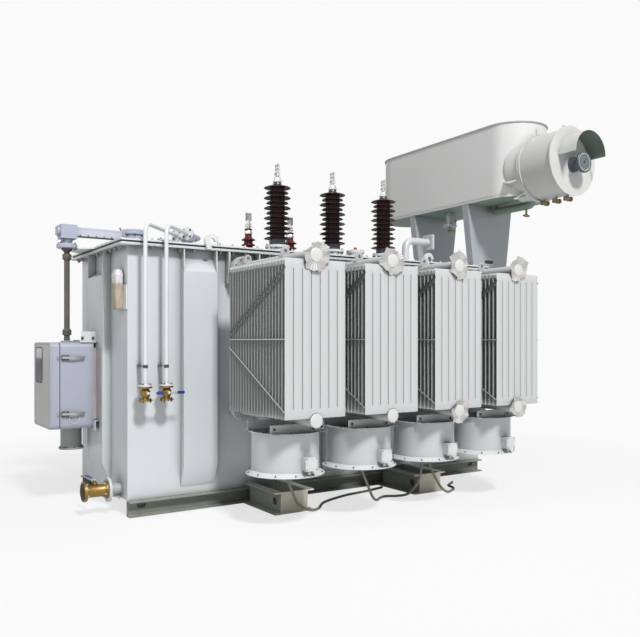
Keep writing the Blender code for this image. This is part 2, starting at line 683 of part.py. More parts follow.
def make_radiators():
    """Banks of panels on an upper and a lower header, four a side, all of one mesh."""
    pitch = (RADIATOR_FRONT - RADIATOR_BACK - PANEL_THICKNESS) / (PANEL_COUNT - 1)
    half = PANEL_WIDTH / 2
    blanks = []
    flange_face = -VALVE_DISTANCE - GAP
    for z in HEADER_Z:
        blanks.append(rod((0, flange_face - 0.002, z), (0, -RADIATOR_FRONT - HEADER_OVERHANG, z),
                          HEADER_RADIUS, HEADER_SIDES))
        blanks.append(rod((0, flange_face, z), (0, flange_face - VALVE_FLANGE_THICKNESS, z),
                          VALVE_FLANGE_RADIUS, 8))
    outline = [(-PANEL_SEAT, PANEL_PEAKS[1]), (-half, PANEL_HIGH), (-half, PANEL_LOW), (-PANEL_SEAT, PANEL_PEAKS[0]),
               (PANEL_SEAT, PANEL_PEAKS[0]), (half, PANEL_LOW), (half, PANEL_HIGH), (PANEL_SEAT, PANEL_PEAKS[1])]
    for number in range(PANEL_COUNT):
        y = -RADIATOR_BACK - pitch * number
        blanks.append(slab(outline, "XZ", y - PANEL_THICKNESS, y))
    top = HEADER_Z[1] + HEADER_RADIUS
    holes = []
    lug_y = -(RADIATOR_FRONT + RADIATOR_BACK) / 2
    lug = [(-0.035, top - 0.012), (0.035, top - 0.012), (0.03, top + 0.065), (-0.03, top + 0.065)]
    blanks.append(slab(lug, "XZ", lug_y - 0.006, lug_y + 0.006))
    holes.append(rod((0, lug_y - 0.02, top + 0.038), (0, lug_y + 0.02, top + 0.038), 0.014, 8))
    first = piece("radiator_front_1", "radiator_paint", blanks, holes)
    first.location = (RADIATOR_X[0], 0, 0)
    for number, x in enumerate(RADIATOR_X, 1):
        if number > 1:
            copy_of(first, f"radiator_front_{number}", (x, 0, 0))
        copy_of(first, f"radiator_rear_{number}", (x, 0, 0), 2)


def make_fans():
    """Open fan drums hung under the lower headers, with motor, hub, blades, arms and two rails."""
    y = -FAN_CENTRE
    inner = FAN_RADIUS - FAN_WALL
    flare = FAN_LOW + 0.03
    drum = turned([
        (FAN_RIM_RADIUS, FAN_HIGH), (FAN_RADIUS, FAN_HIGH - FAN_RIM_THICKNESS), (FAN_RADIUS, flare),
        (FAN_BELL_RADIUS, FAN_LOW), (inner, flare - 0.012), (inner, FAN_HIGH),
    ], 12, (0, y, 0))
    arm_high = FAN_HIGH - FAN_ARM_DROP
    arm_low = arm_high - FAN_ARM_HEIGHT
    blanks = [drum]
    blanks.append(rod((0, y, arm_low - FAN_MOTOR_LENGTH), (0, y, arm_high + 0.005), FAN_HUB_RADIUS, 8,
                      FAN_MOTOR_RADIUS))
    blanks.append(block((-inner - 0.003, y - 0.02, arm_low), (inner + 0.003, y + 0.02, arm_high)))
    blade_z = arm_low - FAN_BLADE_DROP
    for number in range(FAN_BLADES):
        blade = block((FAN_HUB_RADIUS - 0.01, -0.05, -0.003), (inner - FAN_BLADE_CLEARANCE, 0.05, 0.003))
        pitch_turn = Matrix.Rotation(radians(28), 4, "X")
        round_turn = Matrix.Rotation(2 * pi * (number + 0.5) / FAN_BLADES, 4, "Z")
        blade.data.transform(Matrix.Translation((0, y, blade_z)) @ round_turn @ pitch_turn)
        blanks.append(blade)
    half = FAN_RAIL_LENGTH / 2
    rail_top = HEADER_Z[0] - HEADER_FLAT - GAP
    for side in (-1, 1):
        rail_y = y + side * FAN_RAIL_OFFSET - FAN_RAIL_THICKNESS / 2
        blanks.append(block((-half, rail_y, FAN_HIGH - 0.004), (half, rail_y + FAN_RAIL_THICKNESS, rail_top)))
    blanks.append(block((FAN_BOX_X[0], y - FAN_BOX_REACH, FAN_LOW + FAN_BOX_RISE[0]),
                        (FAN_BOX_X[1], y - FAN_RADIUS * 0.97, FAN_LOW + FAN_BOX_RISE[1])))
    first = piece("fan_front_1", "fan_paint", blanks)
    first.location = (RADIATOR_X[0], 0, 0)
    for number, x in enumerate(RADIATOR_X, 1):
        if number > 1:
            copy_of(first, f"fan_front_{number}", (x, 0, 0))
        copy_of(first, f"fan_rear_{number}", (x, 0, 0), 2)


def shed_profile(first, pitch, radii, body):
    """The outline of stacked sheds from the top one down, each with a steep top and a flat under side."""
    points = []
    for number in reversed(range(len(radii))):
        edge = first + pitch * number
        points += [(body, edge + 0.6 * pitch), (radii[number], edge), (body, edge - 0.12 * pitch)]
    return points


def make_bushings():
    """Tall brown bushings along the middle of the cover and short red ones behind them."""
    radii = [TALL_SHED_RADIUS if n % 2 == 0 else TALL_SMALL_SHED_RADIUS for n in range(TALL_BUSHING_SHEDS)]
    sheds = shed_profile(TALL_FIRST_SHED, TALL_SHED_PITCH, radii, TALL_BODY_RADIUS)
    cap_low = sheds[0][1] + 0.01
    stem_top = TALL_TIP - TERMINAL_HEIGHT + 0.01
    base, collar = COVER_TOP + TALL_BASE_HEIGHT, COVER_TOP + TALL_COLLAR_HEIGHT
    profile = [(0, stem_top), (TALL_STEM_RADIUS, stem_top), (TALL_STEM_RADIUS, cap_low + 0.035),
               (0.71 * TALL_BODY_RADIUS, cap_low + 0.03), (0.8 * TALL_BODY_RADIUS, cap_low)]
    profile += sheds
    profile += [(TALL_BODY_RADIUS, collar + 0.015), (TALL_COLLAR_RADIUS, collar), (TALL_COLLAR_RADIUS, base),
                (TALL_BASE_RADIUS, base - 0.005), (TALL_BASE_RADIUS, ON_COVER), (0, ON_COVER)]
    stem = turned(profile, 12)
    blade = block((-TERMINAL_THICKNESS / 2, -TALL_TERMINAL_WIDTH / 2, TALL_TIP - TERMINAL_HEIGHT),
                  (TERMINAL_THICKNESS / 2, TALL_TERMINAL_WIDTH / 2, TALL_TIP))
    first = piece("tall_bushing_1", "brown_porcelain", [stem, blade])
    first.location = (TALL_BUSHING_X[0], 0, 0)
    for number, x in list(enumerate(TALL_BUSHING_X, 1))[1:]:
        copy_of(first, f"tall_bushing_{number}", (x, 0, 0))
    sheds = shed_profile(SHORT_FIRST_SHED, SHORT_SHED_PITCH, [SHORT_SHED_RADIUS] * SHORT_SHEDS, SHORT_BODY_RADIUS)
    top = sheds[0][1]
    stem_top = SHORT_TIP - TERMINAL_HEIGHT + 0.02
    base = COVER_TOP + SHORT_BASE_HEIGHT
    profile = [(0, stem_top), (SHORT_STEM_RADIUS, stem_top), (SHORT_STEM_RADIUS, top + 0.03),
               (0.76 * SHORT_BODY_RADIUS, top + 0.025)]
    profile += sheds
    profile += [(SHORT_BODY_RADIUS, base + 0.008), (SHORT_BASE_RADIUS, base), (SHORT_BASE_RADIUS, ON_COVER),
                (0, ON_COVER)]
    stem = turned(profile, 12)
    blade = block((-SHORT_TERMINAL_WIDTH / 2, -TERMINAL_THICKNESS / 2, SHORT_TIP - TERMINAL_HEIGHT + 0.01),
                  (SHORT_TERMINAL_WIDTH / 2, TERMINAL_THICKNESS / 2, SHORT_TIP))
    first = piece("short_bushing_1", "red_porcelain", [stem, blade])
    first.location = (SHORT_BUSHING_X[0], SHORT_BUSHING_Y, 0)
    for number, x in list(enumerate(SHORT_BUSHING_X, 1))[1:]:
        copy_of(first, f"short_bushing_{number}", (x, SHORT_BUSHING_Y, 0))


def make_cover_fittings():
    """The pressure relief valve and the bent pipe of the gas relay with its blanked flange."""
    top = RELIEF_VALVE_TOP
    profile = [
        (0, top + 0.03), (0.012, top + 0.03), (0.012, top), (RELIEF_VALVE_RADIUS + 0.012, top - 0.004),
        (RELIEF_VALVE_RADIUS + 0.012, top - 0.022), (RELIEF_VALVE_RADIUS, top - 0.026),
        (RELIEF_VALVE_RADIUS, COVER_TOP + 0.03), (RELIEF_FLANGE_RADIUS, COVER_TOP + 0.025),
        (RELIEF_FLANGE_RADIUS, ON_COVER), (0, ON_COVER),
    ]
    piece("pressure_relief_valve", "cover_fittings", [turned(profile, 12, (RELIEF_VALVE_X, 0, 0))])
    corners = [(RELAY_PIPE_X, 0, ON_COVER + 0.01), (RELAY_PIPE_X, 0, RELAY_PIPE_AXIS),
               (RELAY_PIPE_END + 0.005, 0, RELAY_PIPE_AXIS)]
    half = RELAY_FLANGE_SIDE / 2
    z = RELAY_PIPE_AXIS
    blanks = [
        pipe(rounded_path(corners, 0.11, 5), RELAY_PIPE_RADIUS, 3),
        rod((RELAY_PIPE_X, 0, ON_COVER), (RELAY_PIPE_X, 0, ON_COVER + 0.02), 0.075),
        block((RELAY_PIPE_END, -half, z - half), (RELAY_PIPE_END + 0.018, half, z + half)),
        block((RELAY_PIPE_END + 0.0175, -half + 0.006, z - half + 0.006),
              (RELAY_PIPE_END + 0.034, half - 0.006, z + half - 0.006)),
    ]
    piece("relay_pipe", "cover_fittings", blanks)


def make_conservator():
    """The obround conservator, its lid, its pipes, and the cylinder that carries the gauge."""
    body = slab(obround(CONSERVATOR_X, 0, CONSERVATOR_WIDTH, CONSERVATOR_LENGTH, CONSERVATOR_STEPS), "XY",
                CONSERVATOR_LOW, CONSERVATOR_HIGH)
    neck = rod((CONSERVATOR_X, -CYLINDER_NEAR + CYLINDER_RADIUS, CYLINDER_AXIS),
               (CONSERVATOR_X, -CYLINDER_NEAR + 0.003, CYLINDER_AXIS), CYLINDER_RADIUS, 20)
    flange_far = -CYLINDER_NEAR + CYLINDER_FLANGE
    flange = rod((CONSERVATOR_X, flange_far, CYLINDER_AXIS), (CONSERVATOR_X, -CYLINDER_NEAR, CYLINDER_AXIS),
                 CYLINDER_RADIUS + CYLINDER_FLANGE_RIM, 20)
    inside = CONSERVATOR_LOW + 0.01
    path = rounded_path([(CONSERVATOR_X, SIDE_PIPE_Y[0], inside), (CONSERVATOR_X, SIDE_PIPE_Y[0], SIDE_PIPE_AXIS),
                         (CONSERVATOR_X, SIDE_PIPE_Y[1], SIDE_PIPE_AXIS), (CONSERVATOR_X, SIDE_PIPE_Y[1], inside)],
                        0.06, 3)
    outlet_x, outlet_low = CONSERVATOR_X - 0.1, CONSERVATOR_LOW - OUTLET_DROP
    outlet = rod((outlet_x, OUTLET_Y, inside), (outlet_x, OUTLET_Y, outlet_low + 0.01), OUTLET_RADIUS)
    outlet_flange = rod((outlet_x, OUTLET_Y, outlet_low + 0.023), (outlet_x, OUTLET_Y, outlet_low),
                        OUTLET_FLANGE_RADIUS)
    piece("conservator_body", "tank_paint",
          [body, neck, flange, pipe(path, SIDE_PIPE_RADIUS), outlet, outlet_flange])
    lid_low = CONSERVATOR_HIGH + GAP
    rim = obround(CONSERVATOR_X, 0, CONSERVATOR_WIDTH + 2 * LID_OVERHANG, CONSERVATOR_LENGTH + 2 * LID_OVERHANG,
                  CONSERVATOR_STEPS)
    lid = slab(rim, "XY", lid_low, lid_low + LID_THICKNESS)
    piece("conservator_lid", "tank_paint", [lid])
    near = -CYLINDER_NEAR - GAP
    far = -CYLINDER_FAR
    x, z = CONSERVATOR_X, CYLINDER_AXIS
    rim = CYLINDER_RADIUS + CYLINDER_FLANGE_RIM
    blanks = [
        rod((x, near - 0.003, z), (x, far + 0.003, z), CYLINDER_RADIUS, 20),
        rod((x, near, z), (x, near - CYLINDER_FLANGE, z), rim, 20),
        rod((x, far + CYLINDER_FLANGE, z), (x, far, z), rim, 20),
    ]
    for reach in CYLINDER_COCKS:
        y = -CYLINDER_NEAR - reach
        blanks.append(rod((x, y, z - CYLINDER_RADIUS + 0.02), (x, y, z - CYLINDER_RADIUS - CYLINDER_COCK_DROP),
                          CYLINDER_COCK_RADIUS, 8))
    lug_low = z + CYLINDER_RADIUS - 0.01
    lug = [(x - 0.03, lug_low), (x + 0.03, lug_low), (x + 0.02, lug_low + 0.06), (x - 0.02, lug_low + 0.06)]
    blanks.append(slab(lug, "XZ", far + 0.10, far + 0.112))
    piece("tap_changer_conservator", "tank_paint", blanks)
    face = -CYLINDER_FAR - GAP
    z = GAUGE_AXIS
    blanks = [
        rod((x, face, z), (x, face - 0.02, z), GAUGE_FLANGE_RADIUS),
        rod((x, face - 0.01, z), (x, -GAUGE_DIAL_BACK - 0.005, z), GAUGE_NECK_RADIUS),
        rod((x, -GAUGE_DIAL_BACK, z), (x, -GAUGE_DIAL_FRONT, z), GAUGE_DIAL_RADIUS, 20),
    ]
    piece("oil_level_gauge", "gauge_dark", blanks)
    arch = []
    steps = 12
    for radius, order in ((HOOD_RADIUS, range(steps + 1)), (HOOD_RADIUS - HOOD_SHEET, range(steps, -1, -1))):
        arch += [(x + radius * cos(pi * n / steps), HOOD_AXIS + radius * sin(pi * n / steps)) for n in order]
    piece("gauge_hood", "tank_paint", [slab(arch, "XZ", -HOOD_FRONT, face)])


def make_legs():
    """The two tapered legs of the conservator, on the brackets of the tank's end."""
    top = CONSERVATOR_LOW - GAP
    wide, narrow = LEG_TOP_WIDTH / 2 - 0.01, LEG_FOOT_WIDTH / 2
    shoulder = top - 0.03
    outline = [
        (CONSERVATOR_X - narrow, LEG_FOOT), (CONSERVATOR_X + narrow, LEG_FOOT),
        (CONSERVATOR_X + wide, shoulder), (CONSERVATOR_X + wide, top),
        (CONSERVATOR_X - wide, top), (CONSERVATOR_X - wide, shoulder),
    ]
    half = LEG_DEPTH / 2
    for name, y in (("near", -LEG_Y), ("far", LEG_Y)):
        piece(f"conservator_leg_{name}", "tank_paint", [slab(outline, "XZ", y - half, y + half)])


def stub_route(number):
    """Start, bend and flange face of the head's stub for one oil pipe. Its last run points at the pipe."""
    angle, turn = radians(STUB_ANGLES[number]), radians(OIL_RUN_ANGLE)
    start = Vector((HEAD_X, DRIVE_Y, STUB_AXIS)) + Vector((cos(angle), sin(angle), 0)) * (HEAD_RADIUS - 0.04)
    run = Vector((cos(turn), sin(turn), 0))
    face = Vector((OIL_PIPE_X[number], OIL_PIPE_Y, OIL_PIPE_TOP)) + run * OIL_RUN_LENGTHS[number]
    return start, face + run * STUB_RUNS[number], face, -run


def make_tap_changer():
    """The tap changer's head with three pipe elbows, its shaft guard, bevel gear and shaft."""
    head = turned([
        (0, HEAD_TOP + 0.02), (HEAD_RADIUS * 0.6, HEAD_TOP + 0.018), (HEAD_RADIUS, HEAD_TOP),
        (HEAD_RADIUS, HEAD_TOP - 0.02), (HEAD_RADIUS - 0.02, HEAD_TOP - 0.022),
        (HEAD_RADIUS - 0.02, COVER_TOP + 0.03), (HEAD_RADIUS + 0.03, COVER_TOP + 0.025),
        (HEAD_RADIUS + 0.03, ON_COVER), (0, ON_COVER),
    ], 16, (HEAD_X, DRIVE_Y, 0))
    gear_half = HEAD_GEAR_HALF
    low = HEAD_TOP + 0.01
    blanks = [
        head,
        rod((HEAD_X, DRIVE_Y, low), (HEAD_X, DRIVE_Y, GUARD_AXIS + 0.063), gear_half - 0.003, 16),
        block((HEAD_X - gear_half, DRIVE_Y - 0.05, GUARD_AXIS - 0.05), (HEAD_X, DRIVE_Y + 0.05, GUARD_AXIS + 0.05)),
    ]
    for number in range(len(STUB_ANGLES)):
        start, bend, face, ahead = stub_route(number)
        blanks.append(pipe(rounded_path([start, bend, face - ahead * 0.004], 0.04, 2), STUB_RADIUS, 1))
        blanks.append(rod(face - ahead * STUB_FLANGE_THICKNESS, face, STUB_FLANGE_RADIUS, 8))
    spare = Vector((HEAD_X + SPARE_STUB_BEND, DRIVE_Y, STUB_AXIS))
    corners = [spare - Vector((0.12, 0, 0)), spare, spare + UP * SPARE_STUB_REACH]
    blanks.append(pipe(rounded_path(corners, 0.04, 2), STUB_RADIUS, 1))
    blanks.append(rod(corners[2] - UP * 0.008, corners[2] + UP * 0.006, STUB_FLANGE_RADIUS, 8))
    piece("tap_changer_head", "tank_paint", blanks)
    bevel_half = BEVEL_SIDE / 2
    bevel_face = SHAFT_X + bevel_half
    guard_half = GUARD_HEIGHT / 2
    guard = block((bevel_face + GAP, DRIVE_Y - guard_half, GUARD_AXIS - guard_half),
                  (HEAD_X - gear_half - GAP, DRIVE_Y + guard_half, GUARD_AXIS + guard_half))
    piece("shaft_guard", "tank_paint", [guard])
    z = GUARD_AXIS
    plate_low = ON_COVER
    bevel = [
        block((SHAFT_X - bevel_half, DRIVE_Y - bevel_half, z - bevel_half),
              (bevel_face, DRIVE_Y + bevel_half, z + bevel_half)),
        rod((SHAFT_X - bevel_half + 0.01, DRIVE_Y, z), (SHAFT_X - bevel_half - 0.02, DRIVE_Y, z), 0.05),
        rod((SHAFT_X, DRIVE_Y, z - bevel_half + 0.01), (SHAFT_X, DRIVE_Y, plate_low + 0.004), 0.06),
        rod((SHAFT_X, DRIVE_Y, plate_low + 0.016), (SHAFT_X, DRIVE_Y, plate_low), 0.088),
        block((SHAFT_X, DRIVE_Y - 0.08, plate_low), (SHAFT_X + 0.14, DRIVE_Y + 0.08, plate_low + 0.016)),
    ]
    piece("bevel_gear_box", "drive_paint", bevel)
    low, high = HOUSING_HIGH + 0.014 + GAP, ON_COVER - GAP
    shaft = turned([
        (0, high), (COUPLING_RADIUS, high), (COUPLING_RADIUS, high - COUPLING_HEIGHT),
        (SHAFT_RADIUS, high - COUPLING_HEIGHT - 0.01), (SHAFT_RADIUS, low + COUPLING_HEIGHT + 0.01),
        (COUPLING_RADIUS, low + COUPLING_HEIGHT), (COUPLING_RADIUS, low), (0, low),
    ], 12, (SHAFT_X, DRIVE_Y, 0))
    piece("drive_shaft", "drive_shaft", [shaft])


def make_drive():
    """The hollow drive housing on the tank's left end, its mechanism, its door and the duct below."""
    wall = HOUSING_WALL
    outer = block((HOUSING_FRONT, HOUSING_NEAR, HOUSING_LOW), (HOUSING_BACK, HOUSING_FAR, HOUSING_HIGH))
    hollow = block((HOUSING_FRONT - 0.01, HOUSING_NEAR + wall, HOUSING_LOW + wall),
                   (HOUSING_BACK - wall, HOUSING_FAR - wall, HOUSING_HIGH - wall))
    seat = -TANK_END - END_STIFFENER_DEPTH - GAP
    blanks = [outer, rod((SHAFT_X, DRIVE_Y, HOUSING_HIGH - 0.004), (SHAFT_X, DRIVE_Y, HOUSING_HIGH + 0.014), 0.05)]
    for z in (HOUSING_LOW, HOUSING_HIGH - 0.05):
        blanks.append(block((HOUSING_BACK - 0.005, HOUSING_NEAR + 0.01, z),
                            (seat, END_STIFFENER_WIDTH / 2 - 0.014, z + 0.05)))
    hinge_y = HOUSING_FAR + HINGE_OFFSET
    hinge_x = DOOR_BACK + 0.002
    for z in HINGE_Z:
        knuckle_low = z - HINGE_HEIGHT
        blanks.append(rod((hinge_x, hinge_y, knuckle_low), (hinge_x, hinge_y, z), HINGE_RADIUS, 8))
        blanks.append(rod((hinge_x, hinge_y, z - 0.01), (hinge_x, hinge_y, z + HINGE_HEIGHT * 0.8),
                          HINGE_PIN_RADIUS, 8))
        blanks.append(block((hinge_x + 0.003, HOUSING_FAR - 0.002, knuckle_low),
                            (hinge_x + 0.03, hinge_y - 0.002, z)))
    piece("drive_housing", "drive_paint", blanks, [hollow])

    low = HOUSING_LOW + wall + GAP
    back = HOUSING_BACK - wall - GAP
    near, far = HOUSING_NEAR + MECHANISM_MARGIN, HOUSING_FAR - MECHANISM_MARGIN
    plate_top = HOUSING_HIGH - MECHANISM_MARGIN
    motor_top = plate_top - MECHANISM_PLATE
    motor_low = motor_top - MECHANISM_MOTOR_HEIGHT
    motor_half = MECHANISM_MOTOR_WIDTH / 2
    spindle_x = back - MECHANISM_SHAFT_OFFSET
    rail_low = HOUSING_LOW + MECHANISM_RAIL_HEIGHT
    mechanism = [
        block((back - MECHANISM_PLATE, near, low), (back, far, plate_top)),
        block((back - MECHANISM_MOTOR_DEPTH, DRIVE_Y - motor_half, motor_low),
              (back - MECHANISM_PLATE / 2, DRIVE_Y + motor_half, motor_top)),
        rod((spindle_x, DRIVE_Y, motor_top - 0.01), (spindle_x, DRIVE_Y, plate_top + 0.04), 0.03, 12),
        rod((spindle_x, DRIVE_Y, motor_low + 0.01),
            (spindle_x, DRIVE_Y, motor_low - MECHANISM_DRUM_LENGTH), 0.06, 16),
        block((back - 0.08, near + 0.03, rail_low),
              (back - 0.01, far - 0.02, rail_low + MECHANISM_RAIL_HEIGHT)),
    ]
    piece("drive_mechanism", "cover_fittings", mechanism)

    door = [block((DOOR_FRONT, HOUSING_NEAR, HOUSING_LOW), (DOOR_BACK, HOUSING_FAR, HOUSING_HIGH))]
    bores = []
    for z in HINGE_Z:
        knuckle_low = z + GAP
        knuckle_high = z + HINGE_HEIGHT
        door.append(rod((hinge_x, hinge_y, knuckle_low), (hinge_x, hinge_y, knuckle_high), HINGE_RADIUS, 8))
        door.append(block((hinge_x - 0.03, HOUSING_FAR - 0.002, knuckle_low),
                          (hinge_x - 0.003, hinge_y - 0.002, knuckle_high)))
        bores.append(rod((hinge_x, hinge_y, knuckle_low - 0.01), (hinge_x, hinge_y, knuckle_high + 0.01),
                         HINGE_PIN_RADIUS + HINGE_PIN_CLEARANCE, 8))
    for z in (HOUSING_LOW + 0.13, HOUSING_HIGH - 0.13):
        door.append(block((DOOR_BACK - 0.05, HOUSING_NEAR - 0.022, z - 0.018),
                          (DOOR_BACK - 0.02, HOUSING_NEAR + 0.002, z + 0.018)))
        door.append(block((DOOR_BACK - 0.06, HOUSING_NEAR - 0.03, z - 0.008),
                          (DOOR_BACK + 0.04, HOUSING_NEAR - 0.0215, z + 0.008)))
    piece("drive_door", "drive_paint", door, bores, origin=(hinge_x, hinge_y, HOUSING_LOW))

    duct_top = HOUSING_LOW - GAP
    duct = turned([
        (0, duct_top), (DUCT_FLANGE_RADIUS, duct_top), (DUCT_FLANGE_RADIUS, duct_top - 0.016),
        (DUCT_RADIUS, duct_top - 0.018), (DUCT_RADIUS, DUCT_LOW + 0.018), (DUCT_FLANGE_RADIUS, DUCT_LOW + 0.016),
        (DUCT_FLANGE_RADIUS, DUCT_LOW), (0, DUCT_LOW),
    ], 12, (DUCT_X, DRIVE_Y, 0))
    piece("cable_duct", "drive_paint", [duct])


def shifted(thing, shift):
    """Moves a blank's mesh and returns the blank."""
    thing.data.transform(Matrix.Translation(shift))
    return thing


def lever(name, pivot, spindle, reach, length):
    """A flat handle on a valve's spindle. It points along reach and turns about the spindle's line."""
    pivot, spindle, reach = Vector(pivot), Vector(spindle), Vector(reach)
    width_way = spindle.cross(reach)
    corners = []
    for along, across in ((-0.014, -1), (length, -1), (length, 1), (-0.014, 1)):
        corners.append(reach * along + width_way * across * LEVER_WIDTH / 2)
    flat = [corner + spindle * depth for depth in (0, LEVER_THICKNESS) for corner in corners]
    low = [min(point[i] for point in flat) for i in range(3)]
    high = [max(point[i] for point in flat) for i in range(3)]
    bar = block(low, high)
    nut = rod(spindle * LEVER_THICKNESS * 0.5, spindle * (LEVER_THICKNESS + 0.008), 0.012, 8)
    return piece(name, "lever_blue", [shifted(bar, pivot), shifted(nut, pivot)], origin=pivot)


def make_oil_pipes():
    """Two thin pipes up the tank's front to the tap changer's head, each with a flanged valve."""
    for number, (name, lever_name) in enumerate((("oil_pipe_left", "pipe_lever_left"),
                                                 ("oil_pipe_right", "pipe_lever_right"))):
        x = OIL_PIPE_X[number]
        face, ahead = stub_route(number)[2:]
        corners = [(x, OIL_PIPE_Y, OIL_VALVE_HIGH - 0.02), (x, OIL_PIPE_Y, OIL_PIPE_TOP), face + ahead * GAP]
        middle = (OIL_VALVE_LOW + OIL_VALVE_HIGH) / 2
        flange = OIL_FLANGE_THICKNESS
        spindle_y = OIL_PIPE_Y - OIL_FLANGE_RADIUS - 0.006
        blanks = [
            pipe(rounded_path(corners, OIL_PIPE_BEND, 4), OIL_PIPE_RADIUS, 1),
            rod((x, OIL_PIPE_Y, OIL_VALVE_HIGH), (x, OIL_PIPE_Y, OIL_VALVE_HIGH - flange), OIL_FLANGE_RADIUS, 10),
            rod((x, OIL_PIPE_Y, OIL_VALVE_LOW), (x, OIL_PIPE_Y, OIL_VALVE_LOW + flange), OIL_FLANGE_RADIUS, 10),
            rod((x, OIL_PIPE_Y, OIL_VALVE_LOW + 0.005), (x, OIL_PIPE_Y, OIL_VALVE_HIGH - 0.005), 0.036, 8),
            rod((x, OIL_PIPE_Y, middle), (x, spindle_y, middle), 0.012, 8),
            block((x - 0.02, OIL_PIPE_Y - 0.005, OIL_CLAMP_Z - 0.015),
                  (x + 0.02, -TANK_SIDE - GAP, OIL_CLAMP_Z + 0.015)),
            rod(face + ahead * GAP, face + ahead * (GAP + STUB_FLANGE_THICKNESS), STUB_FLANGE_RADIUS, 8),
        ]
        piece(name, "radiator_paint", blanks)
        lever(lever_name, (x, spindle_y - GAP, middle), (0, -1, 0), (1, 0, 0), PIPE_LEVER_LENGTH)


def make_drain_valve():
    """The drain stub low on the tank's left end, its flanged ball valve and the lever above."""
    y, z = DRAIN_Y, DRAIN_Z
    wall = -TANK_END - GAP
    valve_flange = DRAIN_VALVE_FLANGE
    middle = (DRAIN_FLANGE_X - 0.02 + DRAIN_END) / 2
    spindle_top = z + 0.085
    blanks = [
        rod((wall, y, z), (DRAIN_FLANGE_X - 0.005, y, z), DRAIN_STUB_RADIUS, 12),
        rod((DRAIN_FLANGE_X + 0.02, y, z), (DRAIN_FLANGE_X, y, z), DRAIN_FLANGE_RADIUS, 16),
        rod((DRAIN_FLANGE_X + 0.005, y, z), (DRAIN_FLANGE_X - 0.02, y, z), valve_flange, 16),
        rod((DRAIN_FLANGE_X - 0.01, y, z), (DRAIN_END + 0.01, y, z), 0.048, 12),
        rod((DRAIN_END + 0.018, y, z), (DRAIN_END, y, z), valve_flange, 16),
        rod((middle, y, z), (middle, y, spindle_top), 0.014, 8),
    ]
    piece("drain_valve", "brass", blanks)
    lever("drain_lever", (middle, y, spindle_top + GAP), (0, 0, 1), (0, 1, 0), DRAIN_LEVER_LENGTH)


def make_instrument():
    """The instrument on the left end that is still wrapped in paper and film."""
    half = INSTRUMENT_WIDTH / 2
    y = INSTRUMENT_INSET - TANK_SIDE
    wall = -TANK_END - GAP
    body = block((wall - INSTRUMENT_DEPTH, y - half, INSTRUMENT_LOW), (wall, y + half, INSTRUMENT_HIGH))
    bevel = body.modifiers.new("soft", "BEVEL")
    bevel.width = 0.025
    bevel.segments = 2
    piece("wrapped_instrument", "wrapping_paper", [baked(body)])


def smooth_route(points, steps):
    """A smooth curve through the points with a straight run at each end, kept above the ground."""
    route = [Vector(point) for point in points]
    path = [route[0]]
    for a, b, c, d in zip(route, route[1:], route[2:], route[3:]):
        for step in range(steps):
            t = step / steps
            path.append(0.5 * (2 * b + (c - a) * t + (2 * a - 5 * b + 4 * c - d) * t ** 2
                               + (3 * b - a - 3 * c + d) * t ** 3))
    path += route[-2:]
    for place in path:
        place.z = max(place.z, CABLE_REST)
    return path


def make_cables():
    """Grey cables that hang from the fans' motors and lie on the ground, with loose ends."""
    first, second, third = (Vector((x, -FAN_CENTRE, GLAND_Z)) for x in RADIATOR_X[:3])
    near, far = third + Vector((-0.035, 0, 0)), third + Vector((0.035, 0, 0))
    drop, rest = UP * 0.06, CABLE_REST
    routes = {
        "fan_cable_1": [
            first, first - drop, (-0.98, -1.52, 0.34), (-0.91, -1.47, 0.23), (-0.80, -1.38, 0.10),
            (-0.67, -1.35, 0.03), (-0.53, -1.27, rest), (-0.36, -1.10, rest), (-0.05, -0.97, rest),
            (0.24, -0.92, rest), (0.46, -0.86, rest),
        ],
        "fan_cable_2": [
            second, second - drop, (-0.27, -1.53, 0.33), (-0.19, -1.50, 0.20), (-0.06, -1.40, 0.07),
            (0.08, -1.28, rest), (0.21, -1.20, rest), (0.31, -1.24, rest), (0.37, -1.36, 0.05),
            (0.39, -1.47, 0.18), (near.x, -1.52, 0.33), near - drop, near,
        ],
        "fan_cable_3": [
            far, far - drop, (0.46, -1.53, 0.33), (0.54, -1.51, 0.21), (0.68, -1.45, 0.08), (0.84, -1.37, rest),
            (1.00, -1.27, rest), (1.06, -1.13, rest), (1.20, -1.04, rest),
        ],
    }
    for name, route in routes.items():
        piece(name, "cable_grey", [pipe(smooth_route(route, 4), CABLE_RADIUS)])


clear_scene()
parts = new_collection("power_transformer")
workshop = new_collection("workshop")
carrier = bpy.data.objects.new("transformer", None)
carrier.location.x = -MIDDLE_X
parts.objects.link(carrier)
make_skid()
make_tank()
make_cover()
make_radiators()
make_fans()
make_bushings()
make_cover_fittings()
make_conservator()
make_legs()
make_tap_changer()
make_drive()
make_oil_pipes()
make_drain_valve()
make_instrument()
make_cables()
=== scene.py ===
"""The looks of an oil-filled power transformer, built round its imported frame.

Metres, +Z up, +X along the tank towards the conservator. The sections follow the transformer as it is
put together: ground and light, cables, skid, tank, cover, radiators, fans, bushings, cover fittings,
conservator, tap changer, drive, pipes and valves. Places inside a section are measured from the middle
of the tank, and each finished piece is shifted to the frame's own origin.
"""

from math import cos, pi, radians, sin

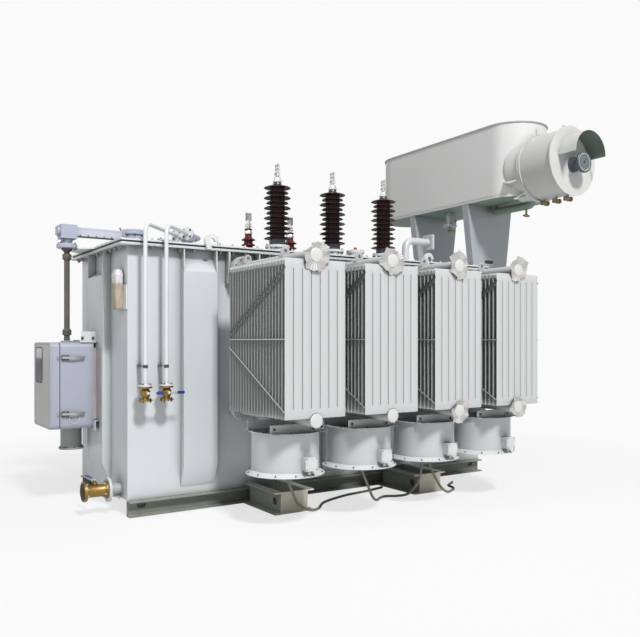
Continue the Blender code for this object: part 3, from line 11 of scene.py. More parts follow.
import bmesh
import bpy
import numpy as np
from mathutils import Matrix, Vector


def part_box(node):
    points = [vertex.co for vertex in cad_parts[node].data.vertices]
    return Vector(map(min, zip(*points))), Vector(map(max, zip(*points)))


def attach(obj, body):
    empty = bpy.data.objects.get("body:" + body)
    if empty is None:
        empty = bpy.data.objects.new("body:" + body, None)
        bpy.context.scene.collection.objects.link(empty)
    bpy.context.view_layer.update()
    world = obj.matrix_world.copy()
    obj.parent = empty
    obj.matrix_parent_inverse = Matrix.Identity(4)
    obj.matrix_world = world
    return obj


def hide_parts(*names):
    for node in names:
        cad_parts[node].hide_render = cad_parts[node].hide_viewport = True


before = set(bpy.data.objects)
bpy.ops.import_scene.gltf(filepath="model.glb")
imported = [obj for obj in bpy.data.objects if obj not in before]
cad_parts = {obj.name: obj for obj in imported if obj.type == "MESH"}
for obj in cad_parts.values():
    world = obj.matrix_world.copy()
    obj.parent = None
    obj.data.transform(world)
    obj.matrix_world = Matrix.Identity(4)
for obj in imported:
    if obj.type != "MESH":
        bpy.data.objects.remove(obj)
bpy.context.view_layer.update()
beam_low, beam_high = (np.array(corner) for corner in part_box("skid_beam_front"))
MIDDLE = np.array([(beam_low[0] + beam_high[0]) / 2, 0.0, 0.0])
TANK_END = (beam_high[0] - beam_low[0]) / 2
ROOT = "transformer"

# Ground, light and camera. The object stands on a plain white ground under a soft light from in front and
# above, with a weaker one on its left, and the camera stands at eye height before its left end. The ground
# turns to pure white a few metres out, and keeps the shadow near the skid.
CAMERA_PLACE = (-4.0035, -6.405, 1.402)
CAMERA_HEADING = radians(-33.23)
CAMERA_LENS = 41.34
CAMERA_SHIFT = 0.036
WHITE = (0.956, 0.956, 0.956, 1.0)
GROUND_REACH = 60.0
SHADOW_START, SHADOW_END = 1.9, 5.5

camera = bpy.data.objects.new("camera", bpy.data.cameras.new("camera"))
camera.location = CAMERA_PLACE
camera.rotation_euler = (radians(90), 0.0, CAMERA_HEADING)
camera.data.lens = CAMERA_LENS
camera.data.shift_y = CAMERA_SHIFT
camera.data.clip_end = 200.0
bpy.context.scene.collection.objects.link(camera)
bpy.context.scene.camera = camera
bpy.context.scene.view_settings.view_transform = "Standard"


def give(tree, socket, value):
    """Links a socket to an output, or sets its value."""
    if isinstance(value, bpy.types.NodeSocket):
        tree.links.new(value, socket)
    else:
        socket.default_value = value


def node(tree, kind, *inputs, **settings):
    """A shader node: inputs fill its sockets in order, None leaves one, and settings go by name."""
    made = tree.nodes.new("ShaderNode" + kind)
    named = {name: value for name, value in settings.items() if not hasattr(made, name)}
    for name in settings.keys() - named.keys():
        setattr(made, name, settings[name])
    for name, value in named.items():
        give(tree, made.inputs[name.replace("_", " ")], value)
    for socket, value in zip(made.inputs, inputs):
        if value is not None:
            give(tree, socket, value)
    return made


def math(tree, operation, *inputs):
    """The result of one arithmetic step."""
    return node(tree, "Math", *inputs, operation=operation).outputs[0]


def spread(tree, value, low, high, to_low=0.0, to_high=1.0):
    """Value moved from the range low to high into the range to_low to to_high, held at its ends."""
    return node(tree, "MapRange", value, low, high, to_low, to_high).outputs[0]


def mixed(tree, factor, first, second, way="MIX"):
    """Two colours mixed by a factor."""
    made = node(tree, "Mix", factor, data_type="RGBA", blend_type=way)
    give(tree, made.inputs[6], first)
    give(tree, made.inputs[7], second)
    return made.outputs[2]


def add_light(name, place, aim, size, power):
    """A square soft light at place, turned towards aim."""
    lamp = bpy.data.lights.new(name, "AREA")
    lamp.shape = "SQUARE"
    lamp.size, lamp.energy = size, power
    thing = bpy.data.objects.new(name, lamp)
    way = np.array(aim, float) - place
    thing.location = place
    thing.rotation_euler = (np.arctan2(np.hypot(way[0], way[1]), -way[2]), 0.0,
                            np.arctan2(way[1], way[0]) - pi / 2)
    bpy.context.scene.collection.objects.link(thing)


add_light("key", (-2.6, -15.0, 16.2), (0.0, 0.0, 1.2), 2.6, 4020.0)
add_light("fill", (-14.0, -3.0, 8.0), (-0.5, 0.0, 1.6), 7.0, 215.0)

sky = bpy.data.worlds.new("sky")
sky.use_nodes = True
bpy.context.scene.world = sky
tree = sky.node_tree
tree.nodes.clear()
ray = node(tree, "LightPath").outputs
shown = math(tree, "MAXIMUM", math(tree, "MAXIMUM", ray["Is Camera Ray"], ray["Is Glossy Ray"]),
             ray["Is Transmission Ray"])
lit = node(tree, "Background", (0.955, 1.0, 0.955, 1.0), 0.26)
seen = node(tree, "Background", WHITE, 1.0)
choice = node(tree, "MixShader", shown, lit.outputs[0], seen.outputs[0])
node(tree, "OutputWorld", choice.outputs[0])

corners = np.array([(-1, -1), (1, -1), (1, 1), (-1, 1)]) * GROUND_REACH
ground_mesh = bpy.data.meshes.new("ground")
ground_mesh.from_pydata([(x, y, -0.002) for x, y in corners], [], [(0, 1, 2, 3)])
ground = bpy.data.objects.new("ground", ground_mesh)
bpy.context.scene.collection.objects.link(ground)
ground_paint = bpy.data.materials.new("ground")
ground_paint.use_nodes = True
tree = ground_paint.node_tree
tree.nodes.clear()
away = node(tree, "VectorMath", node(tree, "TexCoord").outputs["Object"], operation="LENGTH").outputs["Value"]
fade = spread(tree, away, SHADOW_START, SHADOW_END, 0.72, 1.0)
only_seen = math(tree, "MULTIPLY", fade, node(tree, "LightPath").outputs["Is Camera Ray"])
matt = node(tree, "BsdfDiffuse", (0.9, 0.9, 0.9, 1.0))
bright = node(tree, "Emission", WHITE, 1.0)
blend = node(tree, "MixShader", only_seen, matt.outputs[0], bright.outputs[0])
node(tree, "OutputMaterial", blend.outputs[0])
ground_mesh.materials.append(ground_paint)

# Cables. Three grey rubber cables hang from the fans' motors and lie on the ground. Cable 2 joins two
# fans, and cables 1 and 3 end loose and bare. Each is a curve through listed points at the radius of the
# frame's own tube.
CABLE_RADIUS = 0.011
CABLE_REST = CABLE_RADIUS + 0.0005
CABLE_DROP = np.array([0.0, 0.0, 0.06])
GLAND_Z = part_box("fan_cable_1")[1][2]
FAN_Y = -1.512
FAN_X = [sum(corner[0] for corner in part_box(f"fan_front_{number}")) / 2 - MIDDLE[0] for number in range(1, 5)]


def surface_noise(tree, scale, detail=2.0, place=None):
    """Soft noise over a piece's own coordinates."""
    place = place or node(tree, "TexCoord").outputs["Object"]
    return node(tree, "TexNoise", place, Scale=scale, Detail=detail).outputs["Fac"]


def plain(name, colour, roughness, metallic=0.0, grain=60.0, change=0.12, bump=0.15, **settings):
    """A finish without weathering: its colour and roughness swing a little with fine noise."""
    made = bpy.data.materials.new(name)
    made.use_nodes = True
    tree = made.node_tree
    shader = tree.nodes["Principled BSDF"]
    shader.inputs["Metallic"].default_value = metallic
    noise = surface_noise(tree, grain, 4.0)
    dark = tuple(part * (1.0 - change) for part in colour) + (1.0,)
    pale = tuple(min(1.0, part * (1.0 + change)) for part in colour) + (1.0,)
    give(tree, shader.inputs["Base Color"], mixed(tree, noise, dark, pale))
    give(tree, shader.inputs["Roughness"], spread(tree, noise, 0.3, 0.7, roughness - 0.06, roughness + 0.06))
    give(tree, shader.inputs["Normal"], node(tree, "Bump", Strength=bump, Distance=0.0005,
                                             Height=noise).outputs[0])
    for setting, value in settings.items():
        shader.inputs[setting.replace("_", " ")].default_value = value
    return made


cable_grey = plain("cable_grey", (0.16, 0.16, 0.135), 0.5, grain=90.0, change=0.25)


def smooth_route(points, steps=6):
    """A Catmull-Rom curve through the points, straight in its first and last run, never under the ground."""
    points = np.array(points)
    a, b, c, d = (points[shift:len(points) - 3 + shift, None] for shift in range(4))
    t = (np.arange(steps) / steps)[None, :, None]
    curve = 0.5 * (2 * b + (c - a) * t + (2 * a - 5 * b + 4 * c - d) * t ** 2
                   + (3 * b - a - 3 * c + d) * t ** 3)
    path = np.concatenate([points[:1], curve.reshape(-1, 3), points[-2:]])
    path[:, 2] = np.maximum(path[:, 2], CABLE_REST)
    return path


first, second, third = (np.array([x, FAN_Y, GLAND_Z]) for x in FAN_X[:3])
near, far = third - (0.035, 0, 0), third + (0.035, 0, 0)
CABLE_ROUTES = {
    "fan_cable_1": [first, first - CABLE_DROP, (-0.98, -1.52, 0.34), (-0.91, -1.47, 0.23),
                    (-0.80, -1.38, 0.10), (-0.67, -1.35, 0.03), (-0.53, -1.27, CABLE_REST),
                    (-0.36, -1.10, CABLE_REST), (-0.05, -0.97, CABLE_REST), (0.24, -0.92, CABLE_REST),
                    (0.46, -0.86, CABLE_REST)],
    "fan_cable_2": [second, second - CABLE_DROP, (-0.27, -1.53, 0.33), (-0.19, -1.50, 0.20),
                    (-0.06, -1.40, 0.07), (0.08, -1.28, CABLE_REST), (0.21, -1.20, CABLE_REST),
                    (0.31, -1.24, CABLE_REST), (0.37, -1.36, 0.05), (0.39, -1.47, 0.18),
                    (near[0], -1.52, 0.33), near - CABLE_DROP, near],
    "fan_cable_3": [far, far - CABLE_DROP, (0.46, -1.53, 0.33), (0.54, -1.51, 0.21), (0.68, -1.45, 0.08),
                    (0.84, -1.37, CABLE_REST), (1.00, -1.27, CABLE_REST), (1.06, -1.13, CABLE_REST),
                    (1.20, -1.04, CABLE_REST)],
}
for name, route in CABLE_ROUTES.items():
    path = smooth_route(route) + MIDDLE
    curve = bpy.data.curves.new(name + "_rubber", "CURVE")
    curve.dimensions = "3D"
    curve.bevel_depth = CABLE_RADIUS
    curve.bevel_resolution = 4
    curve.use_fill_caps = True
    spline = curve.splines.new("POLY")
    spline.points.add(len(path) - 1)
    spline.points.foreach_set("co", np.column_stack([path, np.ones(len(path))]).ravel())
    spline.use_smooth = True
    cable = bpy.data.objects.new(name + "_rubber", curve)
    curve.materials.append(cable_grey)
    bpy.context.scene.collection.objects.link(cable)
    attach(cable, ROOT)
    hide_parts(name)

# Skid. A rolled channel lies under each long edge of the tank, and two outriggers a side are welded to it,
# each of two channels and end plates. All is painted dark grey and dusty, but for the pale closing plates.
# The frame's own solids have the right shape and keep it. Dark plates stand behind the lifting holes as painted
# shade.
SKID_SIDE, WEB_SETBACK, WEB_THICK = 0.65, 0.010, 0.012
OUTRIGGER_REACH, OUTRIGGER_HALF, OUTRIGGER_X = 0.61, 0.111, (-0.756, 0.714)
BEAM_HOLE_INSET, OUTRIGGER_HOLE_INSET = 0.12, 0.11
BEAM_HOLE, OUTRIGGER_HOLE = (0.045, 0.115), (0.045, 0.135)
HOLE_HALF, HOLE_PLATE = 0.05, 0.0015


def weathering():
    """A shader group of outdoor paint.

    The paint's colour times broad soft mottling is darkened in corners by Grime_and_Shade, which is painted
    shade and grime from ambient occlusion, and paled on faces that look up by Dust. Roughness gets fine noise,
    and
    Height is orange peel plus the low waves of rolled sheet.
    """
    group = bpy.data.node_groups.new("weathering", "ShaderNodeTree")
    wanted = {"Colour": (0.6, 0.6, 0.6, 1.0), "Roughness": 0.4, "Mottle": 0.05, "Dust": 0.2, "Grime_and_Shade": 0.5,
              "Peel": 0.2, "Dirt_and_Shade": (0.075, 0.09, 0.07, 1.0)}
    for name, default in wanted.items():
        kind = "NodeSocketColor" if isinstance(default, tuple) else "NodeSocketFloat"
        group.interface.new_socket(name, in_out="INPUT", socket_type=kind).default_value = default
    for name, kind in (("Colour", "NodeSocketColor"), ("Roughness", "NodeSocketFloat"),
                       ("Height", "NodeSocketFloat")):
        group.interface.new_socket(name, in_out="OUTPUT", socket_type=kind)
    given = group.nodes.new("NodeGroupInput").outputs
    result = group.nodes.new("NodeGroupOutput").inputs
    place = node(group, "TexCoord").outputs["Object"]
    broad = surface_noise(group, 1.7, 5.0, place)
    fine = surface_noise(group, 42.0, 3.0, place)
    peel = surface_noise(group, 420.0, 1.0, place)
    swing = math(group, "MULTIPLY_ADD", math(group, "SUBTRACT", broad, 0.5), given["Mottle"], 1.0)
    mottled = node(group, "VectorMath", given["Colour"], Scale=swing, operation="SCALE").outputs[0]
    # Ambient occlusion darkens corners and hollows towards the dirt and shade colour: painted shade, with
    # grime.
    hollow = node(group, "AmbientOcclusion", samples=8, Distance=0.13).outputs["AO"]
    grime_and_shade = math(group, "MULTIPLY", spread(group, hollow, 0.25, 0.9, 1.0, 0.0), given["Grime_and_Shade"])
    facing = node(group, "SeparateXYZ", node(group, "NewGeometry").outputs["Normal"]).outputs["Z"]
    dust = math(group, "MULTIPLY", spread(group, facing, 0.55, 0.98), spread(group, fine, 0.35, 0.75))
    grimy_and_shaded = mixed(group, grime_and_shade, mottled, given["Dirt_and_Shade"])
    dusty = mixed(group, math(group, "MULTIPLY", dust, given["Dust"]), grimy_and_shaded, (0.50, 0.48, 0.43, 1.0))
    give(group, result["Colour"], dusty)
    give(group, result["Roughness"], math(group, "MULTIPLY_ADD", fine, 0.16, given["Roughness"]))
    raised = math(group, "MULTIPLY", peel, given["Peel"])
    give(group, result["Height"], math(group, "MULTIPLY_ADD", broad, 0.6, raised))
    return group


weathering_group = weathering()


def painted(name, colour, roughness=0.4, mottle=0.10, dust=0.2, grime_and_shade=0.5, peel=0.25, coat=0.15, patch=None):
    """Paint on steel: the weathering group under a thin clear coat. Patch may change the colour first."""
    made = bpy.data.materials.new(name)
    made.use_nodes = True
    tree = made.node_tree
    shader = tree.nodes["Principled BSDF"]
    worn = tree.nodes.new("ShaderNodeGroup")
    worn.node_tree = weathering_group
    values = {"Colour": (*colour, 1.0), "Roughness": roughness - 0.08, "Mottle": mottle, "Dust": dust,
              "Grime_and_Shade": grime_and_shade, "Peel": peel}
    for socket, value in values.items():
        worn.inputs[socket].default_value = value
    if patch:
        give(tree, worn.inputs["Colour"], patch(tree, (*colour, 1.0)))
    relief = node(tree, "Bump", Strength=0.3, Distance=0.0006, Height=worn.outputs["Height"])
    give(tree, shader.inputs["Normal"], relief.outputs["Normal"])
    give(tree, shader.inputs["Base Color"], worn.outputs["Colour"])
    give(tree, shader.inputs["Roughness"], worn.outputs["Roughness"])
    shader.inputs["Coat Weight"].default_value = coat
    shader.inputs["Coat Roughness"].default_value = 0.25
    return made


def pale_ends(tree, colour):
    """The skid's colour, with the pale priming of the outriggers' end plates beyond their reach in y."""
    reach = node(tree, "SeparateXYZ", node(tree, "TexCoord").outputs["Object"]).outputs["Y"]
    beyond = spread(tree, math(tree, "ABSOLUTE", reach), 1.2455, 1.2465)
    return mixed(tree, beyond, colour, (0.66, 0.61, 0.52, 1.0))


skid_paint = painted("skid_grey", (0.24, 0.25, 0.22), 0.62, mottle=0.6, dust=0.75, peel=0.5, coat=0.0,
                     patch=pale_ends)
SKID_NODES = ["skid_beam_front", "skid_beam_rear", "outrigger_left_front", "outrigger_left_rear",
              "outrigger_right_front", "outrigger_right_rear"]
for name in SKID_NODES:
    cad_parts[name].data.materials.clear()
    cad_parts[name].data.materials.append(skid_paint)

web_inner = SKID_SIDE - WEB_SETBACK - WEB_THICK
beam_hole_x = TANK_END - BEAM_HOLE_INSET
outrigger_hole_y = SKID_SIDE + OUTRIGGER_REACH - OUTRIGGER_HOLE_INSET
hole_shade_plates = [((x, side * (web_inner - 2 * HOLE_PLATE)), (HOLE_HALF, HOLE_PLATE), BEAM_HOLE)
              for x in (-beam_hole_x, beam_hole_x) for side in (-1, 1)]
hole_shade_plates += [((x + way * OUTRIGGER_HALF, side * outrigger_hole_y), (HOLE_PLATE, HOLE_HALF), OUTRIGGER_HOLE)
               for x in OUTRIGGER_X for way in (-1, 1) for side in (-1, 1)]

# Tank. A welded box of rolled plate with pressed box stiffeners on its walls, a bolting rim on top, a pipe
# stub with a flange for each end of each radiator, and two brackets for the conservator's legs. It is
# sprayed pale blue-grey.
COVER_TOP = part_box("tall_bushing_1")[0][2] - 0.0003
FLANGE_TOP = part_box("tank_cover")[0][2] - 0.0003
TANK_SIDE = 0.65
TANK_LOW = beam_high[2] + 0.0003
RIM_REACH = 0.08
RIM_THICKNESS = 0.02
WALL_TOP = FLANGE_TOP - RIM_THICKNESS
DRIVE_Y = 0.22
RADIATOR_X = FAN_X
HEADER_Z = (0.828, 2.028)
HEADER_RADIUS = 0.0445
VALVE_Y = 0.80
VALVE_RADIUS = 0.10
# The tank's grime_and_shade is high, so its hollows, such as the band under the rim, take painted shade and
# grime.
tank_paint = painted("tank_blue_grey", (0.60, 0.625, 0.65), 0.38, mottle=0.07, dust=0.12, grime_and_shade=0.75)
bolt_zinc = plain("bolt_zinc", (0.62, 0.62, 0.60), 0.36, metallic=0.85, grain=160.0, change=0.25)
stud_steel = plain("stud_steel", (0.26, 0.27, 0.25), 0.4, metallic=0.6, grain=160.0, change=0.5)
bolt_dark = plain("bolt_dark", (0.075, 0.08, 0.075), 0.5, metallic=0.4, grain=160.0, change=0.3)


def skin(points, around=False, along=False, caps=False):
    """A grid of points as a shape: squares between neighbours, and a flat face on each open end."""
    rows, columns = points.shape[:2]
    index = np.arange(rows * columns).reshape(rows, columns)
    ends = [index[row][None] for row in (0, -1) if caps and np.ptp(points[row], axis=0).max() > 1e-7]
    if around:
        index = np.concatenate([index, index[:, :1]], axis=1)
    if along:
        index = np.concatenate([index, index[:1]], axis=0)
    squares = np.stack([index[:-1, :-1], index[:-1, 1:], index[1:, 1:], index[1:, :-1]], axis=-1)
    return points.reshape(-1, 3), [squares.reshape(-1, 4)] + ends


def joined(*shapes):
    """Several shapes as one: points one after the other, faces counted on."""
    starts = np.cumsum([0] + [len(points) for points, _ in shapes])
    return np.concatenate([points for points, _ in shapes]), [
        cells + start for (_, faces), start in zip(shapes, starts) for cells in faces]


def plate(outline, plane, near, far):
    """A flat outline in a plane, carried along the third axis from near to far."""
    u, v, w = {"XY": (0, 1, 2), "XZ": (0, 2, 1), "YZ": (1, 2, 0)}[plane]
    outline = np.array(outline, float)
    points = np.empty((2, len(outline), 3))
    points[..., u], points[..., v] = outline[:, 0], outline[:, 1]
    points[..., w] = np.array([near, far])[:, None]
    return skin(points, around=True, caps=True)


def box(low, high):
    """A box between two corners."""
    (a, b, c), (d, e, f) = low, high
    return plate([(a, b), (d, b), (d, e), (a, e)], "XY", c, f)


def directions(along):
    """The unit vector along, and two more at right angles to it and to each other."""
    along = np.array(along, float) / np.linalg.norm(along)
    helper = np.array([0.0, 0.0, 1.0]) if abs(along[2]) < 0.9 else np.array([1.0, 0.0, 0.0])
    first = np.cross(helper, along)
    first /= np.linalg.norm(first)
    return along, first, np.cross(along, first)


def turned(profile, at=(0, 0, 0), along=(0, 0, 1), steps=32, ring=False):
    """A profile of (radius, distance) pairs turned about the line that runs from at along a direction.

    Each point is at, plus the distance times the direction, plus the radius times the circle's cosine and
    sine in the two directions across it. A ring's profile closes on itself.
    """
    profile = np.array(profile, float)
    along, first, second = directions(along)
    angles = (np.arange(steps) + 0.5) * 2 * pi / steps
    circle = np.cos(angles)[:, None] * first + np.sin(angles)[:, None] * second
    points = np.array(at) + profile[:, 1, None, None] * along + profile[:, 0, None, None] * circle
    return skin(points, around=True, along=ring, caps=not ring)


def repeat(shape, places, turns=None):
    """Copies of a shape: its points, each turned by its own matrix where there are some, plus its place."""
    points, faces = shape
    places = np.array(places, float).reshape(-1, 3)
    many = points[None] if turns is None else np.einsum("kij,nj->kni", turns, points)
    steps = np.arange(len(places))[:, None, None] * len(points)
    return (many + places[:, None]).reshape(-1, 3), [
        (cells[None] + steps).reshape(-1, cells.shape[1]) for cells in faces]


def turns_about_z(angles):
    """A matrix for each angle that turns a shape about the vertical."""
    angles = np.atleast_1d(angles)
    turns = np.zeros((len(angles), 3, 3))
    turns[:, 0, 0] = turns[:, 1, 1] = np.cos(angles)
    turns[:, 1, 0], turns[:, 0, 1], turns[:, 2, 2] = np.sin(angles), -np.sin(angles), 1
    return turns


def bolt(size, along=(0, 0, 1), stud=0.6):
    """A round washer, a hexagon over it and the end of the thread, from the origin along a direction."""
    washer = turned([(1.15 * size, 0), (1.15 * size, 0.22 * size)], along=along, steps=12)
    head = turned([(size, 0.2 * size), (size, 0.95 * size), (0.85 * size, 1.05 * size)], along=along, steps=6)
    thread = turned([(0.55 * size, size), (0.55 * size, (1.05 + stud) * size)], along=along, steps=8)
    return joined(washer, head, thread)


def bolt_ring(radius, count, size, at, along, start=0.0):
    """Bolts on a circle round the line that runs from at along a direction."""
    way, first, second = directions(along)
    angles = start + np.arange(count) * 2 * pi / count
    places = np.array(at) + radius * (np.cos(angles)[:, None] * first + np.sin(angles)[:, None] * second)
    return repeat(bolt(size, along), places)


def solid(name, shape, finish, body=ROOT, edge=0.0, replaces=(), sharp=32.0):
    """One piece of a shape: doubles merged, faces turned outwards, smooth but for its sharp edges."""
    points, faces = shape
    corners = np.concatenate([cells.ravel() for cells in faces])
    sides = np.concatenate([np.full(len(cells), cells.shape[1]) for cells in faces])
    mesh = bpy.data.meshes.new(name)
    mesh.vertices.add(len(points))
    mesh.vertices.foreach_set("co", (points + MIDDLE).astype(np.float32).ravel())
    mesh.loops.add(len(corners))
    mesh.loops.foreach_set("vertex_index", corners.astype(np.int32))
    mesh.polygons.add(len(sides))
    mesh.polygons.foreach_set("loop_start", (np.cumsum(sides) - sides).astype(np.int32))
    mesh.update(calc_edges=True)
    work = bmesh.new()
    work.from_mesh(mesh)
    bmesh.ops.remove_doubles(work, verts=work.verts, dist=1e-6)
    bmesh.ops.recalc_face_normals(work, faces=work.faces)
    work.to_mesh(mesh)
    work.free()
    mesh.shade_smooth()
    mesh.set_sharp_from_angle(angle=radians(sharp))
    mesh.materials.append(finish)
    thing = bpy.data.objects.new(name, mesh)
    bpy.context.scene.collection.objects.link(thing)
    if edge:
        bevel = thing.modifiers.new("edges", "BEVEL")
        bevel.width, bevel.segments = edge, 2
        bevel.limit_method, bevel.angle_limit = "ANGLE", radians(40)
        bevel.harden_normals = True
    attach(thing, body)
    if replaces:
        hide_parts(*replaces)
    return thing


def fittings(name, shape, finish):
    """A piece of bolts and other small fittings, with sharp edges."""
    solid(name, shape, finish, sharp=25)


def cover_outline(reach):
    """The cover in plan, with the flared pad on its left end that carries the bevel gear."""
    end, side, pad, flare = TANK_END + reach, TANK_SIDE + reach, 0.12, 0.105
    return [(-end, -side), (end, -side), (end, side), (-end, side), (-end, DRIVE_Y + pad + flare),
            (-end - flare, DRIVE_Y + pad), (-end - flare, DRIVE_Y - pad), (-end, DRIVE_Y - pad - flare)]


def stiffener(plane, wall, depth, middle, half, high=1.984, head=2.10):
    """A pressed box on a wall: foot and head slope back to it, and two gussets reach up to the rim."""
    out = np.sign(wall)
    inner, outer = wall - 0.01 * out, wall + depth * out
    foot, low = 0.188, 0.381
    face = [(inner, foot), (wall, foot), (outer, low), (outer, high), (wall, head), (inner, head)]
    gusset = [(wall, head), (outer, high), (outer - 0.006 * out, WALL_TOP), (wall, WALL_TOP)]
    shapes = [plate(face, plane, middle - half, middle + half)]
    for side in (-1, 1):
        ends = sorted((middle + side * half, middle + side * (half - 0.012)))
        shapes.append(plate(gusset, plane, *ends))
    return joined(*shapes)


walls = joined(box((-TANK_END, -TANK_SIDE, TANK_LOW), (TANK_END, TANK_SIDE, WALL_TOP)),
               box((-TANK_END - RIM_REACH, -TANK_SIDE - RIM_REACH, WALL_TOP),
                   (TANK_END + RIM_REACH, TANK_SIDE + RIM_REACH, FLANGE_TOP)))
# The plates behind the lifting holes are painted shade, in the bolts' dark finish.
solid("hole_shade_plates", joined(*[box((x - a, y - b, low), (x + a, y + b, high))
                             for (x, y), (a, b), (low, high) in hole_shade_plates]), bolt_dark)
pitch = RADIATOR_X[1] - RADIATOR_X[0]
stiff_x = [RADIATOR_X[0] + pitch * (step - 0.5) for step in range(5)]
long_boxes = [stiffener("YZ", side * TANK_SIDE, 0.08, x, 0.1525) for side in (-1, 1) for x in stiff_x]
end_boxes = [stiffener("XZ", side * TANK_END, 0.073, 0.0, 0.224, 1.962, 2.01) for side in (-1, 1)]
LEG_Y, LEG_HALF = 0.45, 0.05
LEG_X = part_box("conservator_leg_near")
LEG_MIDDLE = (LEG_X[0][0] + LEG_X[1][0]) / 2 - MIDDLE[0]
foot_end, foot_top = LEG_MIDDLE + 0.266, COVER_TOP + 0.0004
bracket = [(TANK_END - 0.01, 1.70), (TANK_END + 0.04, 1.70), (foot_end, 2.06), (foot_end, foot_top),
           (TANK_END + 0.084, foot_top), (TANK_END + 0.084, WALL_TOP - 0.001),
           (TANK_END - 0.01, WALL_TOP - 0.001)]
brackets = [plate(bracket, "XZ", y - LEG_HALF, y + LEG_HALF) for y in (-LEG_Y, LEG_Y)]
solid("tank_walls", joined(walls, *long_boxes, *end_boxes, *brackets), tank_paint, edge=0.003,
      replaces=["tank"])

stubs, stub_bolts = [], []
for side in (-1, 1):
    for x in RADIATOR_X:
        for z in HEADER_Z:
            start, out = (x, side * (TANK_SIDE - 0.01), z), (0, side, 0)
            reach = VALVE_Y - TANK_SIDE + 0.01
            stubs.append(turned([(HEADER_RADIUS, 0), (HEADER_RADIUS + 0.012, 0.011), (HEADER_RADIUS, 0.022),
                                 (HEADER_RADIUS, reach - 0.022), (VALVE_RADIUS, reach - 0.022),
                                 (VALVE_RADIUS, reach)], start, out, 32))
            stub_bolts.append(bolt_ring(0.08, 8, 0.0095, (x, side * (VALVE_Y - 0.022), z), (0, -side, 0),
                                        pi / 8))
solid("radiator_stubs", joined(*stubs), tank_paint, edge=0.0015)
fittings("stub_bolts", joined(*stub_bolts), bolt_zinc)

# Cover. A flat plate is bolted to the rim over a black rubber gasket that is set back from the edge, so the
# joint shows as a dark line between two white edges. Studs stand above and hang below it every 12 cm. Open
# lifting hooks are welded to its long sides, and lifting ears hang under the rim beside them.
BOLT_PITCH = 0.12
HOOK_X, EAR_X = (-1.265, 1.15), (-1.083, 1.28)
cover_white = painted("cover_white", (0.70, 0.71, 0.72), 0.36, mottle=0.05, dust=0.25, grime_and_shade=0.5)
gasket_black = plain("gasket_black", (0.03, 0.034, 0.03), 0.6, grain=50.0)
cover_low = COVER_TOP - 0.014
gasket_reach = RIM_REACH - 0.010
solid("cover_plate", plate(cover_outline(RIM_REACH), "XY", cover_low, COVER_TOP), cover_white, edge=0.002,
      replaces=["tank_cover"])
solid("cover_gasket", box((-TANK_END - gasket_reach, -TANK_SIDE - gasket_reach, FLANGE_TOP),
                          (TANK_END + gasket_reach, TANK_SIDE + gasket_reach, cover_low)), gasket_black)


def hook(x, side):
    """A lifting hook cut from plate: a C of two arcs that opens to the right, on a short foot."""
    outer, inner, middle = 0.060, 0.023, COVER_TOP + 0.026
    arc = np.linspace(radians(215), radians(-5), 20)
    back = np.linspace(radians(-5), radians(235), 20)
    band = np.concatenate([[(x - 0.04, COVER_TOP - 0.045)],
                           np.column_stack([x + outer * np.cos(arc), middle + outer * np.sin(arc)]),
                           np.column_stack([x + 0.006 + inner * np.cos(back), middle + inner * np.sin(back)]),
                           [(x, COVER_TOP - 0.020), (x, COVER_TOP - 0.045)]])
    y = side * (TANK_SIDE + 0.0935)
    pin = turned([(0.006, -0.004), (0.006, 0.075), (0.003, 0.082)],
                 (x + 0.085, side * (TANK_SIDE + 0.045), COVER_TOP))
    return joined(plate(band, "XZ", y - 0.0125, y + 0.0125), pin)


def ear(x, side):
    """A lifting ear welded under the rim: a grey plate that stands off the wall and narrows downwards."""
    ring = np.linspace(-pi, 0, 10)
    wall, low = TANK_SIDE, WALL_TOP - 0.27
    outline = [(side * wall, WALL_TOP), (side * wall, low)] + [
        (side * (wall + 0.03 + 0.02 * cos(angle)), low + 0.01 + 0.02 * sin(angle)) for angle in ring[4:]]
    outline += [(side * (wall + 0.075), WALL_TOP - 0.09), (side * (wall + 0.075), WALL_TOP)]
    return plate(outline, "YZ", x - 0.01, x + 0.01)


hooks = [hook(x, side) for x in HOOK_X for side in (-1, 1)]
ears = [ear(x, side) for x in EAR_X for side in (-1, 1)]
solid("cover_hooks", joined(*hooks), cover_white, edge=0.0015)
solid("lifting_ears", joined(*ears), tank_paint, edge=0.0015)
bolt_x = np.arange(-1.88, 1.921, BOLT_PITCH)
bolt_y = np.arange(-0.60, 0.601, BOLT_PITCH)
line_y, line_x = TANK_SIDE + 0.045, TANK_END + 0.045
long_sides = [(x, side * line_y) for side in (-1, 1) for x in bolt_x
              if min(abs(x - taken) for taken in HOOK_X) > 0.06]
ends = [(side * line_x, y) for side in (-1, 1) for y in bolt_y
        if side < 0 and abs(y - DRIVE_Y) > 0.15 or side > 0 and abs(abs(y) - LEG_Y) > 0.08]
places = np.array(long_sides + ends)
over = np.column_stack([places, np.full(len(places), COVER_TOP)])
under = np.column_stack([places, np.full(len(places), WALL_TOP)])
fittings("cover_bolts", repeat(bolt(0.013), over), bolt_zinc)
fittings("rim_studs", repeat(bolt(0.019, (0, 0, -1), 0.5), under), stud_steel)

